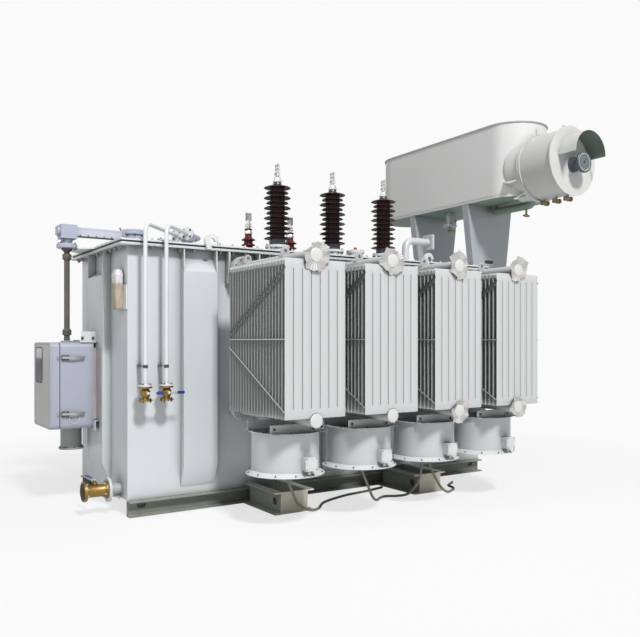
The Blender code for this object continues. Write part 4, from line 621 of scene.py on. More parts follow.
# Radiators. Each of the eight banks has twenty pressed steel panels welded onto an upper and a lower pipe.
# A panel is two sheets seam-welded at their rim and along six grooves, so oil runs down its seven flutes.
# Flat bars, pale and dark, tie the panels' edges together at the sides. All is sprayed near white, and some
# of the pipes' capped ends are still wrapped in film.
PANELS = 20
PANEL_HALF = 0.26
PANEL_DEPTH = 0.0055
PANEL_SEAM = 0.0011
PANEL_LOW, PANEL_HIGH = 0.847, 1.995
RADIATOR_BACK, RADIATOR_FRONT = 1.074, 1.950
GROOVES = 6
GROOVE_PITCH = 0.0755
GROOVE_HALF = 0.0055
GROOVE_START = 0.060
VALLEYS = (np.arange(GROOVES) - (GROOVES - 1) / 2) * GROOVE_PITCH
BRACE_LOW, BRACE_HIGH = 1.469, 1.925
radiator_white = painted("radiator_white", (0.52, 0.525, 0.535), 0.42, mottle=0.05, dust=0.1, grime_and_shade=0.75)
brace_grey = painted("brace_grey", (0.13, 0.14, 0.125), 0.5, mottle=0.3, dust=0.3)
cap_white = painted("cap_white", (0.60, 0.60, 0.59), 0.45, mottle=0.04, dust=0.05, grime_and_shade=0.3)
edge_white = painted("edge_white", (0.90, 0.90, 0.88), 0.45, mottle=0.04, dust=0.05, grime_and_shade=0.2)


def panel():
    """One panel in the XZ plane.

    Its half thickness is the flute depth over the whole field, falls to the seam at the rim, and falls to
    the seam in each groove between the two heights where the groove starts and ends.
    """
    near_valley = (VALLEYS[:, None] + np.array([-1, -0.45, 0.45, 1]) * GROOVE_HALF).ravel()
    edge = PANEL_HALF - np.array([0, 0.004, 0.013])
    x = np.sort(np.concatenate([near_valley, edge, -edge]))
    rise = np.array([0, 0.004, 0.013, GROOVE_START, GROOVE_START + 0.014])
    z = np.sort(np.concatenate([PANEL_LOW + rise, PANEL_HIGH - rise]))
    from_side = np.clip((PANEL_HALF - np.abs(x) - 0.003) / 0.010, 0, 1)
    from_end = np.clip((np.minimum(z - PANEL_LOW, PANEL_HIGH - z) - 0.003) / 0.010, 0, 1)
    field = np.minimum(from_side[None], from_end[:, None])
    to_valley = np.abs(x[:, None] - VALLEYS).min(axis=1)
    groove = np.clip((GROOVE_HALF - to_valley) / (0.55 * GROOVE_HALF), 0, 1)
    inside = np.clip((np.minimum(z - PANEL_LOW, PANEL_HIGH - z) - GROOVE_START) / 0.014, 0, 1)
    swell = field * (1 - 0.85 * groove[None] * inside[:, None])
    half = PANEL_SEAM + (PANEL_DEPTH - PANEL_SEAM) * swell
    points = np.empty((len(z), 2 * len(x), 3))
    points[..., 0] = np.concatenate([x, x[::-1]])
    points[..., 1] = np.concatenate([-half, half[:, ::-1]], axis=1)
    points[..., 2] = z[:, None]
    return skin(points, around=True, caps=True)


def film_wrap(radius, reach, petals, seed):
    """Crumpled plastic film tied over a pipe's end.

    On a polar grid the distance from the axis grows outwards, and both it and the stand-off swing with
    sines of the angle, more towards the loose edge.
    """
    rings, steps = np.linspace(0, 1, 7)[:, None], 120
    angle = (np.arange(steps) * 2 * pi / steps)[None]
    flutter = (0.9 * np.sin(angle + seed) + 0.7 * np.sin(2 * angle + 2.1 * seed)
               + 0.4 * np.sin(petals * angle + seed) + 0.3 * np.sin((2 * petals + 1) * angle + 2.3 * seed))
    fine = 0.35 * np.sin((5 * petals + 2) * angle + 5.1 * seed)
    away = radius + rings * reach * (0.80 + 0.20 * flutter + 0.08 * fine)
    off = -0.004 - 0.020 * rings * (0.6 + 0.5 * np.sin(petals * angle + 1.7 * seed)) - 0.008 * rings * fine
    points = np.stack([away * np.cos(angle), off, away * np.sin(angle)], axis=-1)
    back = points + np.array([0, 0.0012, 0])
    return skin(np.concatenate([points, back[::-1]]), around=True, along=True)


def smooth_disc(radius, dome, at, along):
    """A low domed cap turned from a quarter arc."""
    arc = np.linspace(0, pi / 2, 7)
    return turned(np.column_stack([radius * np.cos(arc), dome * np.sin(arc)]), at, along, 32)


panel_pitch = (RADIATOR_FRONT - RADIATOR_BACK - 2 * PANEL_DEPTH) / (PANELS - 1)
panel_y = -RADIATOR_BACK - PANEL_DEPTH - panel_pitch * np.arange(PANELS)
panel_places = np.column_stack([np.zeros(PANELS), panel_y, np.zeros(PANELS)])
bank = [repeat(panel(), panel_places)]
lug_eyes = []
flange_y = VALVE_Y + 0.0003
for z in HEADER_Z:
    reach = RADIATOR_FRONT + 0.008 - flange_y
    bank.append(turned([(VALVE_RADIUS, 0), (VALVE_RADIUS, 0.022), (HEADER_RADIUS, 0.022),
                        (HEADER_RADIUS, reach)],
                       (0, -flange_y, z), (0, -1, 0), 40))
for y, half in ((-(RADIATOR_FRONT + RADIATOR_BACK) / 2, 0.035), (-0.893, 0.03)):
    top = HEADER_Z[1] + HEADER_RADIUS
    arc = np.linspace(0, pi, 12)
    ear_line = [(-half - 0.012, top - 0.012), (half + 0.012, top - 0.012)] + [
        (half * cos(angle), top + 0.030 + half * sin(angle)) for angle in arc]
    bank.append(plate(ear_line, "XZ", y - 0.006, y + 0.006))
    lug_eyes.append(turned([(0.014, -0.0068), (0.014, 0.0068)], (0, y, top + 0.032), (0, 1, 0), 16))
back, front = -RADIATOR_BACK, -RADIATOR_FRONT
scallops, teeth = [], []
for side in (-1, 1):
    x = np.sort([side * (PANEL_HALF - 0.001), side * (PANEL_HALF + 0.003)])
    bank.append(box((x[0], front, 1.4135), (x[1], back, 1.4225)))
    bank.append(plate([(back, 1.350), (back, 1.360), (front, 0.902), (front, 0.891)], "YZ", *x))
    tabs = np.column_stack([np.zeros(PANELS - 1), (panel_y[1:] + panel_y[:-1]) / 2, np.zeros(PANELS - 1)])
    arc = np.linspace(pi, 2 * pi, 7)
    scallop = [(0.0225, PANEL_HIGH - 0.002), (-0.0225, PANEL_HIGH - 0.002)] + [
        (0.021 * cos(angle), PANEL_HIGH - 0.012 + 0.009 * sin(angle)) for angle in arc]
    scallops.append(repeat(plate(scallop, "YZ", *x), tabs))
for side in (-1, 1):
    x = np.sort([side * (PANEL_HALF - 0.004), side * (PANEL_HALF + 0.003)])
    slope = (BRACE_HIGH - BRACE_LOW) / (RADIATOR_FRONT - RADIATOR_BACK)
    teeth.append(plate([(back, 1.464), (back, 1.476), (front, 1.932), (front, 1.920)], "YZ", *x))
    middle = (panel_y[1:] + panel_y[:-1]) / 2
    height = BRACE_LOW + slope * (back - middle)
    tooth = plate([(-0.014, 0.012), (0.014, -0.002), (0.013, -0.032), (-0.013, -0.032)], "YZ", *x)
    teeth.append(repeat(tooth, np.column_stack([np.zeros(len(middle)), middle, height - 0.004])))
flange_bolts = joined(*[bolt_ring(0.08, 8, 0.0095, (0, -flange_y - 0.022, z), (0, -1, 0), pi / 8)
                        for z in HEADER_Z])
scallops = joined(*scallops)
caps = joined(*[smooth_disc(0.053, 0.008, (0, -RADIATOR_FRONT - 0.007, z), (0, -1, 0)) for z in HEADER_Z])
# Dark lines of painted shade follow the seams of the first and last panel.
seams = [box((x - 0.0024, y - 0.0026, PANEL_LOW + GROOVE_START),
             (x + 0.0024, y + 0.0026, PANEL_HIGH - GROOVE_START))
         for y in (panel_y[0], panel_y[-1]) for x in VALLEYS]
teeth += lug_eyes + seams
bank, teeth = joined(*bank), joined(*teeth)
half_turn = turns_about_z(pi)
WRAPPED = {1: (1,), 2: (1,), 3: (0, 1), 4: (0, 1)}
film = plain("plastic_film", (0.47, 0.457, 0.44), 0.42, grain=30.0, change=0.12, bump=0.5, Alpha=0.92,
             Coat_Weight=0.2, Coat_Roughness=0.25)
for side, turns in (("front", None), ("rear", half_turn)):
    for number, x in enumerate(RADIATOR_X, 1):
        at = [(x, 0, 0)]
        solid(f"radiator_bank_{side}_{number}", repeat(bank, at, turns), radiator_white,
              replaces=[f"radiator_{side}_{number}"], sharp=50)
        # The braces' pieces also hold the dark seam lines, which are painted shade.
        solid(f"radiator_braces_{side}_{number}", repeat(teeth, at, turns), brace_grey)
        solid(f"radiator_caps_{side}_{number}", repeat(caps, at, turns), cap_white)
        solid(f"radiator_tabs_{side}_{number}", repeat(scallops, at, turns), edge_white)
        fittings(f"radiator_bolts_{side}_{number}", repeat(flange_bolts, at, turns), bolt_zinc)
        wraps = []
        for end in WRAPPED[number]:
            size = (0.080, 0.060)[end == 0]
            shape = film_wrap(HEADER_RADIUS - 0.002, size, 5 + number % 2, number + 2.0 * end)
            wraps.append(repeat(shape, [(0, -RADIATOR_FRONT, HEADER_Z[end])]))
        solid(f"film_wraps_{side}_{number}", repeat(joined(*wraps), at, turns), film)

# Fans. Under each radiator hangs a rolled sheet drum with a bolting rim above and a flared bell mouth
# below. Two folded channels hang it under the lower pipe. Inside, crossed arms carry the motor and four
# pressed blades, and a terminal box with a screwed lid sits on the drum.
DRUM_RADIUS, DRUM_WALL = 0.262, 0.004
DRUM_LOW, DRUM_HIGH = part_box("fan_front_1")[0][2], 0.72
BELL_RADIUS, RIM_RADIUS = 0.305, 0.284
HUB_RADIUS, MOTOR_RADIUS = 0.09, 0.07
BLADES = 4
fan_paint = painted("fan_grey_green", (0.52, 0.545, 0.56), 0.38, mottle=0.08, dust=0.2, grime_and_shade=0.55)
bell_white = painted("bell_white", (0.66, 0.68, 0.69), 0.38, mottle=0.05, dust=0.25, grime_and_shade=0.5)
box_grey = painted("terminal_box_grey", (0.60, 0.62, 0.62), 0.42, mottle=0.04, dust=0.15)


def blade(angle):
    """A pressed blade: a fan-shaped grid of radius and angle, pitched and curved, with its own thickness."""
    reach = np.linspace(HUB_RADIUS - 0.012, DRUM_RADIUS - 0.016, 9)[:, None]
    across = np.linspace(-1, 1, 9)[None]
    sweep = across * (0.50 - 0.10 * (reach - HUB_RADIUS) / DRUM_RADIUS) + 0.5 * (reach - HUB_RADIUS)
    height = -across * 0.034 * (1.2 - reach / DRUM_RADIUS * 0.5) - 0.010 * across ** 2
    top = np.stack(np.broadcast_arrays(reach * np.cos(sweep + angle), reach * np.sin(sweep + angle), height),
                   -1)
    sheet = np.concatenate([top, (top - np.array([0, 0, 0.0035]))[:, ::-1]], axis=1)
    return skin(sheet, around=True, caps=True)


blade_z = DRUM_HIGH - 0.06 - 0.155
drum = turned([(RIM_RADIUS, DRUM_HIGH), (RIM_RADIUS, DRUM_HIGH - 0.004),
               (DRUM_RADIUS + 0.001, DRUM_HIGH - 0.005), (DRUM_RADIUS, DRUM_HIGH - 0.012),
               (DRUM_RADIUS, DRUM_LOW + 0.030), (DRUM_RADIUS - DRUM_WALL, DRUM_LOW + 0.030),
               (DRUM_RADIUS - DRUM_WALL, DRUM_HIGH)], steps=96, ring=True)
bell = turned([(DRUM_RADIUS - DRUM_WALL, DRUM_LOW + 0.031), (DRUM_RADIUS, DRUM_LOW + 0.031),
               (DRUM_RADIUS + 0.006, DRUM_LOW + 0.026), (BELL_RADIUS - 0.004, DRUM_LOW + 0.006),
               (BELL_RADIUS, DRUM_LOW + 0.004), (BELL_RADIUS, DRUM_LOW),
               (BELL_RADIUS - 0.010, DRUM_LOW + 0.001), (DRUM_RADIUS + 0.004, DRUM_LOW + 0.020),
               (DRUM_RADIUS - DRUM_WALL, DRUM_LOW + 0.026)], steps=96, ring=True)
arm_high, arm_low = DRUM_HIGH - 0.03, DRUM_HIGH - 0.06
motor = turned([(HUB_RADIUS - 0.02, arm_high + 0.005), (HUB_RADIUS, arm_high - 0.01),
                (HUB_RADIUS, arm_low - 0.08), (HUB_RADIUS - 0.004, arm_low - 0.085),
                (MOTOR_RADIUS, arm_low - 0.10), (MOTOR_RADIUS, arm_low - 0.185),
                (MOTOR_RADIUS - 0.01, arm_low - 0.19)], steps=40)
ribs = repeat(box((-0.0015, -0.004, 0), (0.0015, 0.004, 0.075)),
              [((HUB_RADIUS + 0.002) * cos(a), (HUB_RADIUS + 0.002) * sin(a), arm_low - 0.075)
               for a in np.arange(24) * pi / 12], turns_about_z(np.arange(24) * pi / 12 + pi / 2))
arm_reach, arm_half = DRUM_RADIUS - 0.002, 0.002
arms = [box((-arm_reach, side * 0.02 - arm_half, arm_low), (arm_reach, side * 0.02 + arm_half, arm_high))
        for side in (-1, 1)]
arms += [box((side * 0.02 - arm_half, -arm_reach, arm_low), (side * 0.02 + arm_half, arm_reach, arm_high))
         for side in (-1, 1)]
blades = [repeat(blade(2 * pi * (step + 0.5) / BLADES), [(0, 0, blade_z)]) for step in range(BLADES)]
rail_top = HEADER_Z[0] - HEADER_RADIUS + 0.001
rail_half, rail_y = 0.235, 0.176
rails = []
for side in (-1, 1):
    edges = np.sort([side * rail_y, side * (rail_y + 0.004)])
    rails.append(box((-rail_half, edges[0], DRUM_HIGH + 0.0005), (rail_half, edges[1], rail_top)))
    for z, reach in ((DRUM_HIGH + 0.0005, 0.034), (rail_top - 0.004, 0.022)):
        flange = np.sort([side * rail_y, side * (rail_y + reach)])
        rails.append(box((-rail_half, flange[0], z), (rail_half, flange[1], z + 0.004)))
    clip = np.sort([side * (rail_y + 0.004), side * (rail_y + 0.009)])
    rails.append(box((0.115, clip[0], DRUM_HIGH - 0.02), (0.165, clip[1], rail_top - 0.012)))
tab_angles = radians(45) + np.arange(4) * pi / 2
tabs = repeat(box((-0.028, -0.02, -0.004), (0.028, 0.03, 0.0005)),
              [((RIM_RADIUS + 0.004) * cos(a), (RIM_RADIUS + 0.004) * sin(a), DRUM_HIGH) for a in tab_angles],
              turns_about_z(tab_angles - pi / 2))
rim_bolts = [bolt_ring(RIM_RADIUS - 0.010, 8, 0.008, (0, 0, DRUM_HIGH), (0, 0, 1), radians(22.5)),
             bolt_ring(BELL_RADIUS - 0.014, 12, 0.006, (0, 0, DRUM_LOW + 0.012), (0, 0, 1), radians(15)),
             *[repeat(bolt(0.009, (0, side, 0)), [(x, side * (rail_y + reach), z) for x, reach, z in (
                 (-0.20, 0.004, 0.752), (0.14, 0.009, 0.742), (0.215, 0.004, 0.752))]) for side in (-1, 1)]]
box_x, box_y = (-0.02, 0.082), (-0.332, -DRUM_RADIUS * 0.97)
box_z = (DRUM_LOW + 0.051, DRUM_LOW + 0.152)
terminal = [box((box_x[0] + 0.004, box_y[0] + 0.016, box_z[0] + 0.004),
                (box_x[1] - 0.004, box_y[1], box_z[1] - 0.004)),
            box((box_x[0], box_y[0], box_z[0]), (box_x[1], box_y[0] + 0.015, box_z[1])),
            box((box_x[0] + 0.014, box_y[0] - 0.0015, box_z[0] + 0.014),
                (box_x[1] - 0.014, box_y[0], box_z[1] - 0.014))]
gland = turned([(0.011, 0), (0.011, -0.012), (0.013, -0.013), (0.013, -0.028), (0.008, -0.034)],
               ((box_x[0] + box_x[1]) / 2, box_y[0] + 0.035, box_z[0] + 0.004), (0, 0, 1), 12)
screws = repeat(bolt(0.0036, (0, -1, 0), 0.0), [(x, box_y[0], z) for x in (box_x[0] + 0.009, box_x[1] - 0.009)
                                               for z in (box_z[0] + 0.009, box_z[1] - 0.009)])
dark_motor = painted("motor_grey", (0.24, 0.27, 0.26), 0.45, mottle=0.15, dust=0.4)
for side, turns in (("front", None), ("rear", half_turn)):
    for number, x in enumerate(RADIATOR_X, 1):
        at = [(x, FAN_Y if side == "front" else -FAN_Y, 0)]

        def fan_piece(name, shapes, finish, edge=0.0, sharp=32, replaces=()):
            solid(f"{name}_{side}_{number}", repeat(joined(*shapes), at, turns), finish, edge=edge,
                  replaces=replaces, sharp=sharp)

        fan_piece("fan_drum", [drum, *arms, tabs], fan_paint, replaces=[f"fan_{side}_{number}"])
        fan_piece("fan_bell", [bell], bell_white)
        fan_piece("fan_rails", rails, bell_white, edge=0.0012)
        fan_piece("fan_motor", [motor, ribs, *blades], dark_motor, sharp=40)
        fan_piece("fan_terminal_box", [*terminal, gland], box_grey, edge=0.003)
        fan_piece("fan_screws", [*rim_bolts, screws], bolt_dark, sharp=25)

# Bushings. Three tall ones of dark brown glazed porcelain stand on white turrets along the middle of the
# cover, each in a bolted flange and a dark collar. Wide and narrow sheds take turns up the body, and a cast
# cap holds the terminal. Three short ones, glazed dark red, stand behind them under flat terminals.
brown_glaze = plain("brown_glaze", (0.034, 0.015, 0.016), 0.38, grain=14.0, change=0.35, bump=0.03,
                    Coat_Weight=0.04, Coat_Roughness=0.16, Specular_IOR_Level=0.14)
red_glaze = plain("red_glaze", (0.085, 0.009, 0.013), 0.36, grain=14.0, change=0.3, bump=0.03,
                  Coat_Weight=0.1, Coat_Roughness=0.14, Specular_IOR_Level=0.2)
collar_blue = painted("collar_blue_black", (0.035, 0.045, 0.075), 0.35, mottle=0.2, dust=0.15)
cast_silver = plain("cast_silver", (0.70, 0.70, 0.69), 0.3, metallic=0.9, grain=120.0, change=0.15)
fitting_white = painted("fitting_white", (0.62, 0.635, 0.65), 0.38, mottle=0.06, dust=0.15, grime_and_shade=0.6)


def centre(name):
    """The middle of a node's box, from the middle of the tank."""
    low, high = (np.array(corner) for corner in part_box(name))
    return (low + high) / 2 - MIDDLE


def sheds(body, radii, first, pitch):
    """Profile pairs of a porcelain body with thin drooping sheds: underside, lip and top of each."""
    pairs = []
    for number, radius in enumerate(radii):
        reach, middle = radius - body, first + number * pitch
        pairs += [(body, middle - 0.006), (body + 0.4 * reach, middle - 0.004),
                  (radius - 0.003, middle - 0.0135), (radius - 0.0005, middle - 0.0135),
                  (radius, middle - 0.011), (body + 0.75 * reach, middle - 0.002),
                  (body + 0.35 * reach, middle + 0.002), (body, middle + 0.006)]
    return pairs


TALL_FIRST, TALL_PITCH, TALL_BODY = 0.2247, 0.0508, 0.074
SHORT_FIRST, SHORT_PITCH, SHORT_BODY = 0.1407, 0.054, 0.046
for number in (1, 2, 3):
    x, y, _ = centre(f"tall_bushing_{number}")
    foot, tip = (x, y, COVER_TOP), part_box(f"tall_bushing_{number}")[1][2] - COVER_TOP
    radii = [(0.135, 0.112)[step % 2] for step in range(11)]
    skirts = sheds(TALL_BODY, radii, TALL_FIRST, TALL_PITCH)
    body = [(TALL_BODY, 0.205)] + skirts + [(0.060, 0.748), (0.046, 0.756)]
    solid(f"tall_porcelain_{number}", turned(body, foot, steps=56), brown_glaze,
          replaces=[f"tall_bushing_{number}"], sharp=50)
    collar = turned([(0.082, 0.144), (0.082, 0.196), (0.086, 0.199), (0.086, 0.206), (0.076, 0.211)], foot,
                    steps=48)
    seal = turned([(0.046, 0.752), (0.044, 0.758), (0.040, 0.776), (0.03, 0.778)], foot)
    solid(f"tall_collar_{number}", joined(collar, seal), collar_blue)
    cap = turned([(0.038, 0.776), (0.044, 0.780), (0.044, 0.796), (0.034, 0.802), (0.032, 0.826),
                  (0.020, 0.836), (0.0165, 0.838), (0.0165, tip - 0.09)], foot, steps=28)
    clamp = box((x - 0.019, y - 0.024, COVER_TOP + tip - 0.122),
                (x + 0.019, y + 0.024, COVER_TOP + tip - 0.082))
    blade = box((x - 0.006, y - 0.04, COVER_TOP + tip - 0.088), (x + 0.006, y + 0.04, COVER_TOP + tip))
    base = turned([(0.108, 0.0), (0.108, 0.012), (0.101, 0.017), (0.100, 0.117), (0.122, 0.120),
                   (0.122, 0.142), (0.118, 0.145), (0.08, 0.146)], foot, steps=48)
    solid(f"tall_metal_{number}", joined(cap, clamp, blade), cast_silver, edge=0.002)
    solid(f"tall_foot_{number}", base, fitting_white, edge=0.001)
    eyes = [(x - 0.006, y + across, COVER_TOP + tip - drop) for across in (-0.02, 0.02)
            for drop in (0.02, 0.055)]
    grips = [(x - 0.019, y + across, COVER_TOP + tip - 0.102) for across in (-0.013, 0.013)]
    fittings(f"tall_bolts_{number}", joined(repeat(bolt(0.0055, (-1, 0, 0), 0.1), eyes + grips),
                                         repeat(bolt(0.0055, (1, 0, 0), 0.1),
                                                [(2 * x - a, b, c) for a, b, c in eyes]),
                                         bolt_ring(0.106, 10, 0.009, (x, y, COVER_TOP + 0.145), (0, 0, 1)),
                                         bolt_ring(0.110, 10, 0.009, (x, y, COVER_TOP + 0.120), (0, 0, -1))),
          bolt_dark)

    x, y, _ = centre(f"short_bushing_{number}")
    foot, tip = (x, y, COVER_TOP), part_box(f"short_bushing_{number}")[1][2] - COVER_TOP
    body = [(0.05, 0.055)] + sheds(SHORT_BODY, [0.073] * 3, SHORT_FIRST, SHORT_PITCH) + [
        (0.036, 0.275), (0.036, 0.296), (0.033, 0.298)]
    ring = turned([(0.033, 0.338), (0.041, 0.342), (0.041, 0.352), (0.033, 0.356)], foot)
    solid(f"short_porcelain_{number}", joined(turned(body, foot, steps=48), ring), red_glaze,
          replaces=[f"short_bushing_{number}"], sharp=50)
    metal = [turned([(0.034, 0.296), (0.042, 0.300), (0.042, 0.322), (0.034, 0.338)], foot),
             turned([(0.030, 0.354), (0.018, 0.358), (0.018, 0.372), (0.036, 0.374), (0.036, 0.386),
                     (0.018, 0.388), (0.018, 0.396), (0.032, 0.398), (0.032, 0.410), (0.018, 0.412),
                     (0.018, tip - 0.078)], foot),
             box((x - 0.036, y - 0.006, COVER_TOP + tip - 0.085), (x + 0.036, y + 0.006, COVER_TOP + tip)),
             turned([(0.085, 0.0), (0.085, 0.022), (0.066, 0.028), (0.060, 0.052), (0.05, 0.058)], foot,
                    steps=40)]
    solid(f"short_metal_{number}", joined(*metal), cast_silver, edge=0.0015)
    eyes = [(x + across, y - 0.006, COVER_TOP + tip - drop) for across in (-0.02, 0.02)
            for drop in (0.018, 0.055)]
    fittings(f"short_bolts_{number}", joined(repeat(bolt(0.0036, (0, -1, 0), 0.0), eyes),
                                          bolt_ring(0.074, 6, 0.008, (x, y, COVER_TOP + 0.022), (0, 0, 1))),
          bolt_dark)

# Cover fittings. The pressure relief valve is a squat cast pot with a flat lid and a red telltale pin. The gas
# relay's pipe rises from the cover and bends towards the conservator, and ends at a square flange that is
# closed with a pale blue shipping plate.
pin_red = plain("pin_red", (0.62, 0.07, 0.035), 0.4)
blank_blue = plain("blank_blue", (0.36, 0.50, 0.66), 0.5, grain=25.0)


def rounded(points, bend, steps=7):
    """A path through the points in which each inner corner is a quadratic curve that starts a set way off."""
    points = [np.array(point, float) for point in points]
    path = [points[0]]
    for before, corner, after in zip(points, points[1:], points[2:]):
        way_in, way_out = (corner - before), (after - corner)
        way_in, way_out = way_in / np.linalg.norm(way_in), way_out / np.linalg.norm(way_out)
        cut = bend * np.sqrt((1 - way_in @ way_out) / (1 + way_in @ way_out + 1e-9))
        for t in np.linspace(0, 1, steps):
            path.append(corner - way_in * cut * (1 - t) ** 2 + way_out * cut * t ** 2)
    return np.array(path + [points[-1]])


def tube(path, radius, sides=24, across=(0, 0, 1)):
    """A circle carried along a path that stays in one plane, square to the mean of the runs at each point."""
    path, across = np.array(path, float), np.array(across, float)
    runs = np.diff(path, axis=0)
    runs /= np.linalg.norm(runs, axis=1)[:, None]
    along = np.concatenate([runs[:1], runs[1:] + runs[:-1], runs[-1:]])
    along /= np.linalg.norm(along, axis=1)[:, None]
    second = np.cross(along, across)
    second /= np.linalg.norm(second, axis=1)[:, None]
    first = np.cross(second, along)
    angle = np.arange(sides) * 2 * pi / sides
    points = path[:, None] + radius * (np.cos(angle)[None, :, None] * first[:, None]
                                       + np.sin(angle)[None, :, None] * second[:, None])
    return skin(points, around=True, caps=True)


x, y, _ = centre("pressure_relief_valve")
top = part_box("pressure_relief_valve")[1][2] - 0.03 - COVER_TOP
foot = (x, y, COVER_TOP)
pot = turned([(0.11, 0), (0.11, 0.018), (0.104, 0.024), (0.088, 0.027), (0.083, 0.036), (0.083, top - 0.05),
              (0.088, top - 0.034), (0.097, top - 0.03), (0.097, top - 0.008), (0.088, top - 0.001),
              (0.05, top), (0.030, top), (0.028, top + 0.006)], foot, steps=48)
solid("relief_pot", pot, fitting_white, edge=0.001, replaces=["pressure_relief_valve"])
fittings("relief_bolts", joined(bolt_ring(0.098, 8, 0.009, (x, y, COVER_TOP + 0.02), (0, 0, 1)),
                             bolt_ring(0.088, 6, 0.007, (x, y, COVER_TOP + top - 0.004), (0, 0, 1))),
         bolt_zinc)
solid("relief_pin", turned([(0.019, top), (0.019, top + 0.026), (0.013, top + 0.033)], foot), pin_red)

relay_x, relay_end, relay_z = 1.466, 1.80, 2.543
relay = [tube(rounded([(relay_x, 0, COVER_TOP), (relay_x, 0, relay_z), (relay_end, 0, relay_z)], 0.11), 0.040,
              28, (0, 1, 0)),
         turned([(0.075, 0), (0.075, 0.02), (0.048, 0.021), (0.042, 0.028)], (relay_x, 0, COVER_TOP),
                steps=36),
         turned([(0.040, -0.018), (0.047, -0.014), (0.047, 0)], (relay_end, 0, relay_z), (1, 0, 0)),
         box((relay_end, -0.085, relay_z - 0.085), (relay_end + 0.018, 0.085, relay_z + 0.085))]
solid("relay_bend", joined(*relay), fitting_white, edge=0.0015, replaces=["relay_pipe"])
solid("relay_blank", box((relay_end + 0.018, -0.078, relay_z - 0.078),
                         (relay_end + 0.033, 0.078, relay_z + 0.078)),
      blank_blue, edge=0.002)
relay_corners = [(relay_end, y, relay_z + z) for y in (-0.062, 0.062) for z in (-0.062, 0.062)]
fittings("relay_bolts", joined(repeat(bolt(0.010, (-1, 0, 0)), relay_corners),
                            repeat(bolt(0.010, (1, 0, 0)), [(a + 0.033, b, c) for a, b, c in relay_corners]),
                            bolt_ring(0.062, 6, 0.008, (relay_x, 0, COVER_TOP + 0.02), (0, 0, 1))), bolt_zinc)

# Conservator. The main oil tank is rolled sheet on an obround floor, with a flat lid that stands out over its
# edge. The tap changer's own oil cylinder is flanged to its near end and carries the dial gauge under a bent
# hood. Below hang the pipe that joins the two, an outlet with a brass valve, and three brass cocks.
conservator_white = painted("conservator_white", (0.68, 0.68, 0.675), 0.36, mottle=0.05, dust=0.3, grime_and_shade=0.35)
cylinder_white = painted("cylinder_white", (0.58, 0.58, 0.57), 0.38, mottle=0.05, dust=0.2, grime_and_shade=0.35)
lid_edge_shade = painted("lid_edge_shade", (0.40, 0.41, 0.41), 0.5, mottle=0.1, dust=0.4)
# The underside green is painted shade, tinted green as a painted reflection, on the conservator's floor and the
# pipe below.
shade_green = painted("underside_painted_shade", (0.20, 0.265, 0.225), 0.45, mottle=0.25, dust=0.2)
hood_inside_shade = painted("hood_inside_painted_shade", (0.125, 0.155, 0.135), 0.42, mottle=0.3, dust=0.1)
brass = plain("brass", (0.30, 0.19, 0.062), 0.42, metallic=0.9, grain=70.0, change=0.35)
dull_brass = plain("dull_brass", (0.30, 0.23, 0.13), 0.45, metallic=0.75, grain=70.0, change=0.4)
gauge_dark = painted("gauge_blue_grey", (0.065, 0.08, 0.11), 0.32, mottle=0.15, dust=0.15)
dial_face = plain("dial_face", (0.115, 0.14, 0.138), 0.35, grain=12.0, change=0.06)
dial_black = plain("dial_black", (0.02, 0.022, 0.025), 0.45)
TANK_X, DEEP, HALF = 2.294, 2.9240, 0.35
GAUGE_Z, HOOD_Z, HOOD_FRONT, LOOP_Z = 3.18, 3.248, -1.832, 2.857
LONG, ROOF = 2.38 / 2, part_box("conservator_lid")[0][2] - 0.0003
CYL_Z, CYL_R, CYL_NEAR, CYL_FAR = 3.219, 0.332, 1.206, 1.618


def obround(reach, low, high, x=TANK_X, half=HALF, length=LONG, steps=40):
    """The conservator's plan: two half circles on the ends of a straight run, grown by reach."""
    turn = np.linspace(0, pi, steps)
    far = np.column_stack([x + (half + reach) * np.cos(turn), length - half + (half + reach) * np.sin(turn)])
    near = np.column_stack([x - (half + reach) * np.cos(turn), half - length - (half + reach) * np.sin(turn)])
    return plate(np.concatenate([far, near]), "XY", low, high)




def drum_ring(grow, near, far):
    """A stretch of the level cylinder, or of a flange that stands out from it, between two reaches."""
    return turned([(CYL_R + grow, near), (CYL_R + grow, far)], (TANK_X, 0, CYL_Z), (0, -1, 0), 72)


neck = [drum_ring(0, CYL_NEAR - 0.19, CYL_NEAR - 0.019), drum_ring(0.018, CYL_NEAR - 0.018, CYL_NEAR)]
for angle in (205, 232):
    along = np.array([cos(radians(angle)), 0, sin(radians(angle))])
    across = np.array([-along[2], 0, along[0]]) * 0.006
    near, far = (np.array([TANK_X, 0, CYL_Z]) + along * reach for reach in (0.325, 0.42))
    wedge = np.array([near + (0, -CYL_NEAR + 0.018, 0), far + (0, -CYL_NEAR + 0.10, 0),
                      far + (0, -CYL_NEAR + 0.12, 0), near + (0, -CYL_NEAR + 0.25, 0)])
    neck.append(skin(np.stack([wedge - across, wedge + across]), around=True, caps=True))
bracket = [box((TANK_X - 0.045, -LONG - 0.012, 3.575), (TANK_X + 0.045, -LONG + 0.03, 3.640))]
solid("conservator_shell", joined(obround(0, DEEP + 0.002, ROOF), obround(0.004, DEEP + 0.030, DEEP + 0.036),
                                  *neck,
                                  *bracket), conservator_white,
      replaces=["conservator_body"], sharp=40)
solid("conservator_floor", obround(-0.004, DEEP - 0.0005, DEEP + 0.010), shade_green,
      sharp=40)
solid("conservator_roof", joined(obround(0.009, ROOF, ROOF + 0.006),
                                 obround(0.006, ROOF + 0.006, ROOF + 0.016)),
      conservator_white, edge=0.001, replaces=["conservator_lid"], sharp=40)
